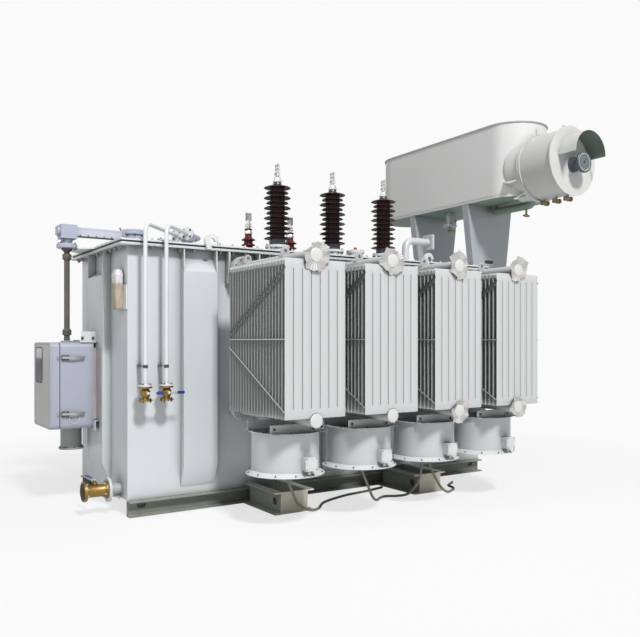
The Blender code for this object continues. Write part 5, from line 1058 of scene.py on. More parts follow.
# The lid's edge band is darker grey: painted shade on the edge under the lid.
solid("conservator_roof_edge", obround(0.012, ROOF + 0.003, ROOF + 0.013), lid_edge_shade, edge=0.001,
      sharp=40)
lug = [(TANK_X - 0.03, CYL_Z + CYL_R - 0.01), (TANK_X + 0.03, CYL_Z + CYL_R - 0.01),
       (TANK_X + 0.02, CYL_Z + CYL_R + 0.05), (TANK_X - 0.02, CYL_Z + CYL_R + 0.05)]
cylinder = [drum_ring(0, CYL_NEAR + 0.018, CYL_FAR - 0.018),
            drum_ring(0.018, CYL_NEAR + 0.001, CYL_NEAR + 0.018), drum_ring(0.018, CYL_FAR - 0.018, CYL_FAR),
            plate(lug, "XZ", -CYL_FAR + 0.10, -CYL_FAR + 0.112)]
solid("cylinder_shell", joined(*cylinder), cylinder_white, edge=0.0015, replaces=["tap_changer_conservator"],
      sharp=40)
cocks, cock_dark = [], []
for reach in (0.064, 0.214, 0.354):
    at = np.array([TANK_X, -CYL_NEAR - reach, CYL_Z - CYL_R])
    cocks += [turned([(0.010, 0.01), (0.010, -0.022), (0.016, -0.024), (0.018, -0.034), (0.018, -0.046),
                      (0.012, -0.052), (0.012, -0.058)], at, steps=16),
              turned([(0.026, -0.044), (0.026, -0.036), (0.012, -0.034), (0.017, -0.012), (0.017, 0.012),
                      (0.012, 0.034), (0.026, 0.036), (0.026, 0.044)], at - (0, 0, 0.040), (1, 0, 0), 20)]
    cock_dark += [bolt_ring(0.020, 4, 0.0055, at - (0.044, 0, 0.040), (-1, 0, 0), pi / 4),
                  bolt_ring(0.020, 4, 0.0055, at + (0.044, 0, -0.040), (1, 0, 0), pi / 4),
                  box(at + (-0.004, -0.035, -0.066), at + (0.004, 0.012, -0.060))]
solid("cylinder_cocks", joined(*cocks), dull_brass)
fittings("cock_fittings", joined(*cock_dark), bolt_dark)
face = (TANK_X, -CYL_FAR, GAUGE_Z)
gauge = [turned([(0.080, 0), (0.080, 0.018), (0.074, 0.020), (0.053, 0.021), (0.050, 0.03), (0.050, 0.104),
                 (0.062, 0.108), (0.101, 0.110), (0.105, 0.115), (0.105, 0.138), (0.101, 0.142),
                 (0.088, 0.142), (0.086, 0.136)], face, (0, -1, 0), 56),
         bolt_ring(0.067, 8, 0.007, (TANK_X, -CYL_FAR - 0.02, GAUGE_Z),
                   (0, -1, 0))]
solid("gauge_case", joined(*gauge), gauge_dark, replaces=["oil_level_gauge"])
solid("gauge_face", turned([(0.087, 0.130), (0.087, 0.1375), (0.08, 0.1376)], face, (0, -1, 0), 48),
      dial_face)
solid("gauge_ring", turned([(0.087, 0.1370), (0.087, 0.1392), (0.080, 0.1392), (0.080, 0.1370)], face,
                           (0, -1, 0), 48,
                           True), cylinder_white)
spot = np.array([TANK_X, -CYL_FAR - 0.1386, GAUGE_Z])
marks = []
for step, angle in enumerate(np.radians(np.arange(-40, 221, 13))):
    long_mark = 0.017 if step % 5 == 0 else 0.009
    out = np.array([cos(angle), 0, sin(angle)])
    side = np.array([-sin(angle), 0, cos(angle)]) * 0.0014
    ends = [spot + out * reach for reach in (0.079, 0.079 - long_mark)]
    quad = np.array([ends[0] - side, ends[0] + side, ends[1] + side, ends[1] - side])
    marks.append(skin(np.stack([quad, quad + (0, 0.0015, 0)]), around=True, caps=True))
reading = radians(48)
out, side = np.array([cos(reading), 0, sin(reading)]), np.array([-sin(reading), 0, cos(reading)])
hand = np.array([spot + out * 0.066, spot + side * 0.006, spot - out * 0.030, spot - side * 0.006])
marks.append(skin(np.stack([hand, hand + (0, 0.0015, 0)]), around=True, caps=True))
marks.append(turned([(0.010, 0.1370), (0.010, 0.1405), (0.007, 0.1415)], face, (0, -1, 0), 20))
solid("gauge_marks", joined(*marks), dial_black)


def hood(outer, inner):
    """The gauge's hood: half a rolled sheet from the cylinder's face forwards."""
    turn = np.linspace(0, pi, 40)
    line = np.concatenate([np.column_stack([radius * np.cos(way), radius * np.sin(way)])
                           for radius, way in ((outer, turn), (inner, turn[::-1]))])
    return plate(line + (TANK_X, HOOD_Z), "XZ", HOOD_FRONT, -CYL_FAR - 0.0003)


solid("hood_sheet", hood(0.230, 0.2275), cylinder_white, replaces=["gauge_hood"])
# The hood's inside is a dark green skin: painted shade with a painted green reflection.
solid("hood_inside_shaded", hood(0.2275, 0.226), hood_inside_shade)
loop = tube(rounded([(TANK_X, -0.56, DEEP), (TANK_X, -0.56, LOOP_Z), (TANK_X, -1.10, LOOP_Z),
                     (TANK_X, -1.10, DEEP)],
                    0.06), 0.0425, 24, (1, 0, 0))
solid("conservator_pipes", loop, shade_green)
socket = (TANK_X - 0.1, 0.05, DEEP)
solid("conservator_outlet", joined(
    turned([(0.050, 0), (0.050, -0.13)], socket),
    turned([(0.08, -0.162), (0.08, -0.139), (0.046, -0.138), (0.041, -0.128)], socket)),
      fitting_white)
outlet = np.array([TANK_X - 0.1, 0.05, DEEP - 0.162])
small_valves = [turned([(0.012, 0), (0.012, -0.03), (0.02, -0.034), (0.02, -0.055), (0.014, -0.06)], outlet,
                       steps=16),
                turned([(0.010, -0.06), (0.010, -0.04), (0.015, -0.02), (0.015, 0.02), (0.010, 0.04),
                        (0.010, 0.075)],
                       outlet - (0, 0, 0.045), (1, 0, 0), 16),
                turned([(0.012, 0), (0.012, -0.05), (0.018, -0.055), (0.018, -0.075)],
                       (TANK_X, -1.02, LOOP_Z - 0.040), steps=16),
                turned([(0.010, -0.045), (0.014, -0.02), (0.014, 0.02), (0.010, 0.045)],
                       (TANK_X, -1.02, LOOP_Z - 0.105), (1, 0, 0), 16)]
solid("conservator_valves", joined(*small_valves), dull_brass)
fittings("outlet_bolts", bolt_ring(0.062, 6, 0.009, outlet + (0, 0, 0.024), (0, 0, 1)), bolt_zinc)

# Legs. Two tapered box legs of folded plate carry the conservator from the brackets on the tank's right end.
# Each is bolted down through a foot plate and up through a pad, and has a slot near its foot.
# The legs are painted darker than the tank: painted shade under the conservator.
leg_shaded_grey = painted("leg_shaded_grey", (0.36, 0.385, 0.41), 0.42, mottle=0.12, dust=0.12, grime_and_shade=0.8)
slot_shade = plain("slot_shade", (0.03, 0.033, 0.033), 0.6)
top, foot_z, narrow, wide = DEEP - 0.0006, COVER_TOP + 0.0008, 0.258, 0.345
for name, y in (("near", -LEG_Y), ("far", LEG_Y)):
    leg = plate([(TANK_X - narrow, foot_z), (TANK_X + narrow, foot_z), (TANK_X + wide, top - 0.03),
                 (TANK_X + wide, top), (TANK_X - wide, top), (TANK_X - wide, top - 0.03)], "XZ", y - 0.046,
                y + 0.046)
    rims = [box((TANK_X - wide - 0.002, y - 0.05, top - 0.012), (TANK_X + wide + 0.002, y + 0.05, top)),
            box((TANK_X - narrow - 0.004, y - 0.05, foot_z),
                (TANK_X + narrow + 0.004, y + 0.05, foot_z + 0.014))]
    solid(f"leg_box_{name}", joined(leg, *rims), leg_shaded_grey, edge=0.003, replaces=[f"conservator_leg_{name}"])
    # Each slot is a dark inset, painted shade where the hole would show, in a rim of tank paint.
    turn = np.linspace(-pi / 2, pi / 2, 10)
    for radius, finish, proud, part in ((0.030, tank_paint, 0.0475, "rim"),
                                        (0.021, slot_shade, 0.0482, "hole")):
        line = np.concatenate([
            np.column_stack([TANK_X - 0.02 + side * (0.05 + radius * np.cos(turn)),
                             2.30 + side * radius * np.sin(turn)])
            for side in (1, -1)])
        solid(f"leg_slot_{part}_{name}", plate(line, "XZ", y - proud, y + proud), finish)
    feet = [(TANK_X + x, y + side * 0.036, foot_z + 0.014) for x in (-0.2, -0.07, 0.07, 0.2)
            for side in (-1, 1)]
    fittings(f"leg_bolts_{name}", repeat(bolt(0.010), feet), bolt_zinc)

# Tap changer. Its round head stands near the left end under a bolted lid, with flanged stubs for the oil pipes.
# A square guard covers the level shaft from the head's gear box to the bevel gear at the rim's left edge, and
# a jointed steel shaft runs down from there to the drive, primed dark brown and rusting.
head_lilac = painted("head_lilac", (0.40, 0.42, 0.53), 0.38, mottle=0.08, dust=0.2, grime_and_shade=0.55)
guard_lilac = painted("guard_pale_lilac", (0.54, 0.55, 0.63), 0.38, mottle=0.05, dust=0.15, grime_and_shade=0.45)
HEAD = np.array([-1.60, DRIVE_Y, 0.0])
HEAD_TOP, STUB_Z, GUARD_Z = COVER_TOP + 0.0857, COVER_TOP + 0.0527, COVER_TOP + 0.1507
PIPE_X, PIPE_Y, PIPE_TOP = (-1.856, -1.681), -0.80, 2.34
RUN_WAY = np.array([cos(radians(47.5)), sin(radians(47.5)), 0])
RUNS, STUB_RUNS, STUB_TURNS = (0.713, 0.497), (0.20, 0.32), (-45, -10)


def pipe_ends(number):
    """The corner over one oil pipe, and the flange face where its level run meets the head's stub."""
    corner = np.array([PIPE_X[number], PIPE_Y, PIPE_TOP])
    return corner, corner + RUN_WAY * RUNS[number]


head = [turned([(0.23, 0), (0.23, 0.020), (0.222, 0.025), (0.184, 0.026), (0.180, 0.032), (0.180, 0.060),
                (0.200, 0.063), (0.200, 0.086), (0.192, 0.090), (0.10, 0.096)], HEAD + (0, 0, COVER_TOP),
               steps=64)]
spare = HEAD + (0.28, 0, STUB_Z)
head.append(tube(rounded([spare - (0.12, 0, 0), spare, spare + (0, 0, 0.082)], 0.04), 0.022, 20, (0, 1, 0)))
head.append(turned([(0.022, 0.06), (0.024, 0.08), (0.05, 0.081), (0.05, 0.095)], spare, steps=28))
stubs = []
for number in (0, 1):
    corner, meets = pipe_ends(number)
    angle = radians(STUB_TURNS[number])
    leaves = HEAD + (0.16 * cos(angle), 0.16 * sin(angle), STUB_Z)
    turn = meets + RUN_WAY * STUB_RUNS[number]
    stubs.append(tube(rounded([leaves, turn, meets + RUN_WAY * 0.004], 0.05), 0.022, 20))
    stubs.append(turned([(0.055, 0), (0.055, 0.014), (0.028, 0.015), (0.023, 0.024)], meets, RUN_WAY, 32))
solid("head_shell", joined(*head), fitting_white, edge=0.001, replaces=["tap_changer_head"])
gear = turned([(0.112, HEAD_TOP + 0.008), (0.112, HEAD_TOP + 0.030), (0.100, HEAD_TOP + 0.034),
               (0.098, GUARD_Z + 0.010), (0.113, GUARD_Z + 0.014), (0.113, GUARD_Z + 0.034),
               (0.104, GUARD_Z + 0.038), (0.104, GUARD_Z + 0.050), (0.096, GUARD_Z + 0.060),
               (0.05, GUARD_Z + 0.064)], HEAD, steps=48)
seat = box(HEAD + (-0.115, -0.05, GUARD_Z - 0.05), HEAD + (0.0, 0.05, GUARD_Z + 0.05))
solid("head_gear_box", joined(gear, seat, *stubs), head_lilac, edge=0.0015)
fittings("head_bolts", joined(bolt_ring(0.190, 20, 0.010, HEAD + (0, 0, HEAD_TOP + 0.002), (0, 0, 1)),
                           bolt_ring(0.210, 16, 0.010, HEAD + (0, 0, COVER_TOP + 0.024), (0, 0, 1)),
                           bolt_ring(0.108, 10, 0.0085, HEAD + (0, 0, GUARD_Z + 0.014), (0, 0, -1), 0.2),
                           bolt_ring(0.038, 4, 0.008, spare + (0, 0, 0.095), (0, 0, 1), pi / 4),
                           *[bolt_ring(0.041, 4, 0.008, pipe_ends(n)[1] + RUN_WAY * way, RUN_WAY * way,
                                       pi / 4)
                             for n in (0, 1) for way in (-0.014, 0.014)]), bolt_dark)
guard_low, guard_high = -2.1257, -1.7153
solid("shaft_guard_sheet", joined(
    box((guard_low, DRIVE_Y - 0.038, GUARD_Z - 0.038), (guard_high, DRIVE_Y + 0.038, GUARD_Z + 0.036)),
    box((guard_low, DRIVE_Y - 0.040, GUARD_Z + 0.036), (guard_high, DRIVE_Y + 0.040, GUARD_Z + 0.040)),
    box((guard_low, DRIVE_Y - 0.040, GUARD_Z + 0.024), (guard_high, DRIVE_Y - 0.038, GUARD_Z + 0.040))),
      guard_lilac, edge=0.0015, replaces=["shaft_guard"])
# A thin dark strip along the guard's underside is a painted shadow; the pins and bolts are real.
fittings("guard_pins_and_shadow_strip", joined(
    box((guard_low, DRIVE_Y - 0.0385, GUARD_Z - 0.041), (guard_high, DRIVE_Y + 0.0385, GUARD_Z - 0.036)),
    turned([(0.006, 0), (0.006, 0.030), (0.003, 0.036)], (guard_high - 0.01, DRIVE_Y - 0.03, GUARD_Z + 0.038),
           (-0.5, 0, 1), 10),
    repeat(bolt(0.005, (0, -1, 0), 0.1), [(x, DRIVE_Y - 0.038, GUARD_Z - 0.030) for x in
                                          np.linspace(guard_low + 0.03, guard_high - 0.03, 6)])),
      bolt_dark)
SHAFT = np.array([-2.2010, DRIVE_Y, 0.0])
bevel = [box(SHAFT + (-0.066, -0.066, GUARD_Z - 0.068), SHAFT + (0.075, 0.066, GUARD_Z + 0.056)),
         turned([(0.050, 0), (0.050, -0.020), (0.044, -0.024), (0.044, -0.060)],
                SHAFT + (0, 0, GUARD_Z - 0.066)),
         turned([(0.080, 0), (0.088, 0.004), (0.088, 0.038), (0.080, 0.042), (0.045, 0.044)],
                SHAFT + (0, 0, COVER_TOP),
                steps=40),
         turned([(0.050, 0.064), (0.050, 0.082), (0.040, 0.090), (0.02, 0.090)], SHAFT + (0, 0, GUARD_Z),
                (-1, 0, 0), 32)]
solid("bevel_casting", joined(*bevel), head_lilac, edge=0.004, replaces=["bevel_gear_box"])
fittings("bevel_bolts", joined(bolt_ring(0.040, 4, 0.006, SHAFT + (-0.083, 0, GUARD_Z), (-1, 0, 0), pi / 4),
                            bolt_ring(0.070, 6, 0.008, SHAFT + (0, 0, COVER_TOP + 0.042), (0, 0, 1))),
         bolt_dark)


def rust(tree, colour):
    """Orange rust in soft patches along the shaft, over dark primer."""
    patches = spread(tree, surface_noise(tree, 7.0, 5.0), 0.52, 0.70)
    return mixed(tree, math(tree, "MULTIPLY", patches, 0.55), colour, (0.26, 0.11, 0.05, 1.0))


shaft_brown = painted("shaft_brown", (0.085, 0.078, 0.072), 0.55, mottle=0.5, dust=0.1, peel=0.6, coat=0.0,
                      patch=rust)
mark_red = plain("mark_red", (0.55, 0.05, 0.05), 0.5)
low, high = 1.4103, 2.2190
rod_line = turned([(0.024, low + 0.02), (0.024, high - 0.02)], SHAFT, steps=24)
couplings = []
for base, way, cone in ((high, -1, 0.046), (low, 1, 0.026)):
    couplings.append(turned([(cone, 0), (cone, 0.010), (0.024, 0.034), (0.022, 0.046), (0.036, 0.049),
                             (0.038, 0.055), (0.038, 0.092), (0.034, 0.098), (0.026, 0.104)],
                            SHAFT + (0, 0, base), (0, 0, way), 28))
    couplings.append(repeat(bolt(0.008, (0, -1, 0), 0.2), [SHAFT + (0, -0.036, base + way * 0.08)]))
solid("drive_shaft_rod", joined(rod_line, *couplings), shaft_brown, replaces=["drive_shaft"])
solid("shaft_mark", turned([(0.008, 0.020), (0.008, 0.0265)], SHAFT + (0, 0, high - 0.135), (-0.9, -0.4, 0),
                           12), mark_red)

# Motor drive. A cast aluminium box with a lilac powder coat hangs on the tank's left end by two channels and
# white hangers. Its door turns on two hinges at the far edge, closes with two toggle latches at the near one
# and has a tall window. Inside are the motor, its gear and a terminal rail. A cable duct hangs below.
drive_lilac = painted("drive_lilac", (0.36, 0.375, 0.46), 0.42, mottle=0.05, dust=0.15, grime_and_shade=0.5, peel=0.9)
door_brushed = plain("door_brushed", (0.52, 0.50, 0.48), 0.42, metallic=0.25, grain=45.0, change=0.1)
window_dark = plain("window_dark", (0.035, 0.03, 0.04), 0.12, grain=8.0, Coat_Weight=0.8, Coat_Roughness=0.04)
rubber_black = plain("rubber_black", (0.025, 0.025, 0.027), 0.7)
latch_steel = plain("latch_steel", (0.45, 0.45, 0.44), 0.3, metallic=0.9, grain=120.0, change=0.4)
motor_green = painted("motor_grey_green", (0.22, 0.27, 0.25), 0.45)
FRONT, BACK, NEAR, FAR, LOW, HIGH, WALL = -2.33, -2.056, -0.075, 0.52, 0.6625, 1.396, 0.008


def corners_rounded(y0, y1, z0, z1, radius, steps=7):
    """A rounded rectangle in the YZ plane, from its upper far corner round."""
    turn = np.linspace(0, pi / 2, steps)
    middles = [(y1 - radius, z1 - radius), (y0 + radius, z1 - radius), (y0 + radius, z0 + radius),
               (y1 - radius, z0 + radius)]
    return np.concatenate([np.column_stack([y + radius * np.cos(turn + quarter * pi / 2),
                                            z + radius * np.sin(turn + quarter * pi / 2)])
                           for quarter, (y, z) in enumerate(middles)])


def band(outer, inner, x0, x1):
    """A hollow frame between two outlines of the YZ plane, from x0 to x1."""
    rings = [np.column_stack([np.full(len(line), x), line])
             for line, x in ((outer, x0), (outer, x1), (inner, x1), (inner, x0))]
    return skin(np.array(rings), around=True, along=True)


def box_line(inset, radius):
    """The drive box's outline, inset all round."""
    return corners_rounded(NEAR + inset, FAR - inset, LOW + inset, HIGH - inset, radius)


def frame_ring(x0, x1, inset, wall, radius=0.045):
    """A tray's rim: the box's outline, inset, with a wall of its own."""
    return band(box_line(inset, radius), box_line(inset + wall, radius - wall * 0.8), x0, x1)


def panel_yz(x0, x1, inset, radius=0.040):
    """A plate with the box's outline, inset, from x0 to x1."""
    return plate(box_line(inset, radius), "YZ", x0, x1)


housing = [frame_ring(FRONT, BACK, 0, WALL), panel_yz(BACK - WALL, BACK - 0.0005, 0.004),
           turned([(0.052, HIGH - 0.004), (0.052, HIGH + 0.010), (0.046, HIGH + 0.014), (0.02, HIGH + 0.014)],
                  SHAFT,
                  steps=36)]
seat = -TANK_END - 0.0733
for z in (LOW, HIGH - 0.05):
    housing += [box((BACK - 0.005, NEAR + 0.01, z), (seat, 0.21, z + 0.006)),
                box((BACK - 0.005, NEAR + 0.01, z + 0.044), (seat, 0.21, z + 0.05)),
                box((BACK - 0.001, NEAR + 0.01, z), (BACK + 0.006, 0.21, z + 0.05)),
                box((seat - 0.006, NEAR + 0.01, z), (seat, 0.21, z + 0.05))]
hinge = np.array([-2.333, 0.537, 0.0])
leaf = []
for z in (0.80, 1.26):
    housing += [turned([(0.009, z - 0.04), (0.009, z - 0.0005)], hinge, steps=16),
                turned([(0.005, z - 0.045), (0.005, z + 0.044), (0.007, z + 0.045), (0.007, z + 0.049)],
                       hinge, steps=12),
                box((hinge[0] + 0.003, FAR - 0.002, z - 0.04),
                    (hinge[0] + 0.03, hinge[1] - 0.002, z - 0.0005))]
    leaf += [turned([(0.009, z + 0.0005), (0.009, z + 0.04)], hinge, steps=16),
             box((hinge[0] - 0.03, FAR - 0.002, z + 0.0005), (hinge[0] - 0.003, hinge[1] - 0.002, z + 0.04))]
solid("housing_shell", joined(*housing), drive_lilac, edge=0.002, replaces=["drive_housing"],
      sharp=40)
solid("housing_seal", frame_ring(FRONT - 0.004, FRONT + 0.002, 0.010, 0.010, 0.03), rubber_black)
back = BACK - WALL - 0.001
works = [box((back - 0.004, NEAR + 0.10, LOW + 0.01), (back, FAR - 0.10, HIGH - 0.10)),
         turned([(0.030, 1.26), (0.030, 1.335)], SHAFT + (0.045, 0, 0), steps=24),
         turned([(0.06, 0.84), (0.06, 1.05)], SHAFT + (0.045, 0, 0), steps=36)]
solid("mechanism_frame", joined(*works), bolt_zinc, edge=0.001, replaces=["drive_mechanism"])
gear_case = [box((back - 0.15, DRIVE_Y - 0.12, 1.046), (back - 0.01, DRIVE_Y + 0.12, 1.276)),
             turned([(0.055, 0), (0.055, -0.18), (0.045, -0.19)], (back - 0.085, DRIVE_Y - 0.06, 1.05),
                    steps=32)]
solid("mechanism_motor", joined(*gear_case), motor_green, edge=0.004)
terminals = [box((back - 0.05, NEAR + 0.14 + 0.022 * step, 0.722), (back - 0.006, NEAR + 0.158 + 0.022 * step,
                                                                    0.78))
             for step in range(14)]
solid("mechanism_terminals", joined(*terminals), rubber_black, edge=0.001)
door_low, door_high = -2.411, -2.335
door = [frame_ring(door_low + 0.012, door_high, 0, 0.006), frame_ring(door_low, door_low + 0.014, 0.002,
                                                                      0.020, 0.033),
        *leaf]
solid("door_tray", joined(*door), drive_lilac, body="door", edge=0.003, replaces=["drive_door"],
      sharp=40)
solid("door_face", panel_yz(door_low + 0.003, door_low + 0.012, 0.018), door_brushed, body="door", edge=0.001,
      sharp=40)
glass_line = corners_rounded(0.225, 0.45, 1.05, 1.345, 0.03)
solid("door_window", plate(glass_line, "YZ", door_low + 0.0005, door_low + 0.004), window_dark, body="door",
      sharp=40)
solid("window_trim", band(corners_rounded(0.217, 0.458, 1.042, 1.353, 0.036), glass_line, door_low - 0.0004,
                          door_low + 0.004), rubber_black, body="door", sharp=40)
for part, z in (("low", LOW + 0.13), ("high", HIGH - 0.13)):
    base = [box((-2.320, NEAR - 0.012, z - 0.022), (-2.262, NEAR + 0.001, z + 0.022)),
            box((-2.310, NEAR - 0.024, z - 0.014), (-2.276, NEAR - 0.010, z - 0.006)),
            box((-2.310, NEAR - 0.024, z + 0.006), (-2.276, NEAR - 0.010, z + 0.014))]
    handle_line = [(-2.322, -0.020), (-2.235, -0.030), (-2.140, -0.018), (-2.130, -0.022), (-2.140, -0.026),
                   (-2.235, -0.036), (-2.322, -0.026)]
    handle = [turned([(0.005, -0.019), (0.005, 0.019)], (-2.290, NEAR - 0.018, z), steps=12),
              plate([(x, NEAR + off) for x, off in handle_line], "XY", z - 0.009, z + 0.009)]
    solid(f"latch_base_{part}", joined(*base), bolt_dark, edge=0.001)
    solid(f"latch_handle_{part}", joined(*handle), latch_steel, edge=0.001)
    solid(f"door_catch_{part}", joined(
        box((-2.356, NEAR - 0.010, z - 0.010), (-2.342, NEAR + 0.001, z + 0.010)),
        box((-2.350, NEAR - 0.020, z - 0.010), (-2.342, NEAR - 0.009, z + 0.010))),
          latch_steel, body="door", edge=0.001)
solid("housing_hangers", joined(
    box((-2.165, -0.065, HIGH - 0.002), (-2.030, 0.15, 1.4165)),
    box((seat - 0.007, -0.10, 1.40), (seat, 0.15, 1.49)),
    box((-2.155, -0.065, 1.4165), (seat, -0.059, 1.488)),
    box((-2.060, -0.145, 0.724), (seat, 0.15, 0.730)), box((-2.060, -0.145, 0.645), (-2.054, -0.08, 0.730)),
    turned([(0.040, 0), (0.046, 0), (0.046, 0.007), (0.040, 0.007)], (-2.215, NEAR, 0.755), (0, -1, 0), 32,
           True)),
      fitting_white, edge=0.001)
# A grey-pink plate on the stiffener's face beside the box, and a strip between box and tank, are painted shade
# and painted reflection of the drive box.
wall_shade_reflection = plain("wall_shade_reflection", (0.42, 0.385, 0.385), 0.4, metallic=0.3, grain=9.0, change=0.3)
solid("housing_wall_shade_reflection", joined(box((seat - 0.004, -0.20, 0.735), (seat, 0.10, 1.345)),
                               box((BACK - 0.001, -0.062, 0.735), (seat, -0.052, 1.345))), wall_shade_reflection)
fittings("hanger_bolts", repeat(bolt(0.011, (0, -1, 0)), [(-2.145, -0.065, 1.432), (-2.055, -0.065, 1.432)]),
         bolt_dark)
duct_green = painted("duct_grey_green", (0.27, 0.305, 0.285), 0.45, mottle=0.12)
DUCT = np.array([-2.165, DRIVE_Y, 0.0])
duct = turned([(0.105, LOW - 0.0005), (0.105, LOW - 0.016), (0.092, LOW - 0.018), (0.090, LOW - 0.022),
               (0.090, 0.482), (0.092, 0.478), (0.105, 0.476), (0.105, 0.460), (0.084, 0.460), (0.083, 0.50)],
              DUCT, steps=48)
solid("duct_sleeve", duct, duct_green, edge=0.001, replaces=["cable_duct"], sharp=40)
solid("duct_inside", turned([(0.083, 0.472), (0.083, 0.474)], DUCT, steps=48), rubber_black)
fittings("duct_bolts", joined(bolt_ring(0.097, 8, 0.007, DUCT + (0, 0, 0.476), (0, 0, 1)),
                           bolt_ring(0.097, 8, 0.007, DUCT + (0, 0, LOW - 0.016), (0, 0, -1))), bolt_dark)

# Oil pipes. Two thin white pipes rise on the tank's front from flanged brass ball valves with blue levers to
# the tap changer's head. A small clamp on a stand-off holds each against the wall.
pipe_white = painted("pipe_white", (0.70, 0.71, 0.73), 0.35, mottle=0.04, dust=0.1, grime_and_shade=0.35)
lever_blue = plain("lever_blue", (0.007, 0.024, 0.25), 0.36, grain=40.0, change=0.2, Coat_Weight=0.4)
VALVE_LOW, VALVE_HIGH, CLAMP_Z, LEVER_Y = 0.932, 1.059, 1.205, -0.8613
middle, normal = (VALVE_LOW + VALVE_HIGH) / 2, np.cross((0, 0, 1), RUN_WAY)
for number, part in enumerate(("left", "right")):
    x = PIPE_X[number]
    corner, meets = pipe_ends(number)
    line = rounded([(x, PIPE_Y, VALVE_HIGH - 0.005), corner, meets - RUN_WAY * 0.001], 0.09, 9)
    runs = [tube(line, 0.017, 20, normal),
            turned([(0.055, 0.0005), (0.055, 0.014), (0.024, 0.015), (0.018, 0.022)], meets, -RUN_WAY, 32),
            turned([(0.055, 0), (0.055, 0.012), (0.022, 0.013), (0.018, 0.022)],
                   (x, PIPE_Y, VALVE_HIGH - 0.011), steps=32)]
    solid(f"oil_pipe_run_{part}", joined(*runs), pipe_white, replaces=[f"oil_pipe_{part}"])
    valve = turned([(0.030, VALVE_LOW), (0.055, VALVE_LOW + 0.0005), (0.055, VALVE_LOW + 0.013),
                    (0.034, VALVE_LOW + 0.015), (0.028, VALVE_LOW + 0.024), (0.038, VALVE_LOW + 0.046),
                    (0.040, VALVE_LOW + 0.063), (0.038, VALVE_LOW + 0.080), (0.028, VALVE_HIGH - 0.035),
                    (0.034, VALVE_HIGH - 0.027), (0.055, VALVE_HIGH - 0.025), (0.055, VALVE_HIGH - 0.012)],
                   (x, PIPE_Y, 0), steps=36)
    stem = turned([(0.020, 0.03), (0.020, 0.044), (0.013, 0.046), (0.013, 0.0605)], (x, PIPE_Y, middle),
                  (0, -1, 0), 20)
    solid(f"oil_valve_{part}", joined(valve, stem), brass)
    studs = [bolt_ring(0.043, 4, 0.0075, (x, PIPE_Y, z), (0, 0, way), pi / 4)
             for z, way in ((VALVE_HIGH + 0.001, 1), (VALVE_LOW, -1), (VALVE_LOW + 0.013, 1))]
    clamp = [box((x - 0.020, PIPE_Y - 0.004, CLAMP_Z - 0.003), (x + 0.020, -TANK_SIDE, CLAMP_Z + 0.003)),
             turned([(0.020, -0.012), (0.020, 0.012)], (x, PIPE_Y, CLAMP_Z), steps=24)]
    fittings(f"oil_fittings_{part}", joined(*studs, *clamp), bolt_dark)
    edge_line = [(-0.012, 0.010), (0.035, 0.007), (0.055, 0.010), (0.122, 0.010), (0.127, 0.006)]
    handle = plate([(x + away, middle - off) for away, off in edge_line]
                   + [(x + away, middle + off) for away, off in edge_line[::-1]],
                   "XZ", LEVER_Y - 0.0035, LEVER_Y - 0.0005)
    body = f"{part}_lever"
    solid(f"lever_plate_{part}", joined(handle, turned([(0.011, 0.003), (0.011, 0.010), (0.008, 0.012)],
                                                       (x, LEVER_Y, middle), (0, -1, 0), 6)), cast_silver,
          body=body,
          edge=0.0006, replaces=[f"pipe_lever_{part}"])
    turn = np.linspace(pi / 2, 3 * pi / 2, 8)
    sleeve = np.concatenate([np.column_stack([x + 0.072 + 0.006 * np.cos(turn),
                                              middle + 0.0125 * np.sin(turn)]),
                             np.column_stack([x + 0.124 - 0.006 * np.cos(turn),
                                              middle - 0.0125 * np.sin(turn)])])
    solid(f"lever_grip_{part}", plate(sleeve, "XZ", LEVER_Y - 0.006, LEVER_Y + 0.0015), lever_blue, body=body,
          edge=0.0015)

# Drain valve. A painted stub with a flange leaves the tank's left end near its floor, over a small gusset. A
# straight brass ball valve is bolted to it, with a dark gasket round its open end and a violet lever on top.
grip_violet = plain("grip_violet", (0.045, 0.04, 0.20), 0.4, grain=40.0, change=0.2)
DRAIN_Y, DRAIN_Z, STEM_X = -0.463, 0.20, -2.157
at = (0, DRAIN_Y, DRAIN_Z)
stub = [turned([(0.0445, TANK_END - 0.004), (0.0445, 2.040), (0.10, 2.0405), (0.10, 2.0595)], at, (-1, 0, 0),
               48),
        plate([(-TANK_END, 0.112), (-TANK_END, 0.158), (-2.036, 0.158), (-2.036, 0.150)], "XZ",
              DRAIN_Y - 0.005,
              DRAIN_Y + 0.005)]
solid("drain_stub", joined(*stub), tank_paint, edge=0.001)
end = 2.252
valve = turned([(0.07, 2.0605), (0.07, 2.078), (0.053, 2.081), (0.050, 2.092), (0.050, 2.215), (0.054, 2.226),
               (0.080, 2.2285), (0.080, end), (0.037, end), (0.035, end - 0.020)], at, (-1, 0, 0), 48)
spindle = turned([(0.024, 0.05), (0.024, 0.066), (0.014, 0.068), (0.014, 0.0845)], (STEM_X, DRAIN_Y, DRAIN_Z),
                 steps=20)
solid("drain_ball_valve", joined(valve, spindle), brass, edge=0.0008, replaces=["drain_valve"])
solid("drain_gasket",
      turned([(0.070, end - 0.002), (0.070, end + 0.003), (0.042, end + 0.003), (0.042, end - 0.002)], at,
             (-1, 0, 0), 40, True), rubber_black)
fittings("drain_bolts", joined(bolt_ring(0.059, 8, 0.008, (-2.078, DRAIN_Y, DRAIN_Z), (-1, 0, 0), pi / 8),
                            bolt_ring(0.066, 8, 0.008, (-2.2285, DRAIN_Y, DRAIN_Z), (1, 0, 0), pi / 8),
                            bolt_ring(0.086, 8, 0.008, (-2.0405, DRAIN_Y, DRAIN_Z), (1, 0, 0), pi / 8)),
         bolt_zinc)
x, z = STEM_X, DRAIN_Z + 0.0855
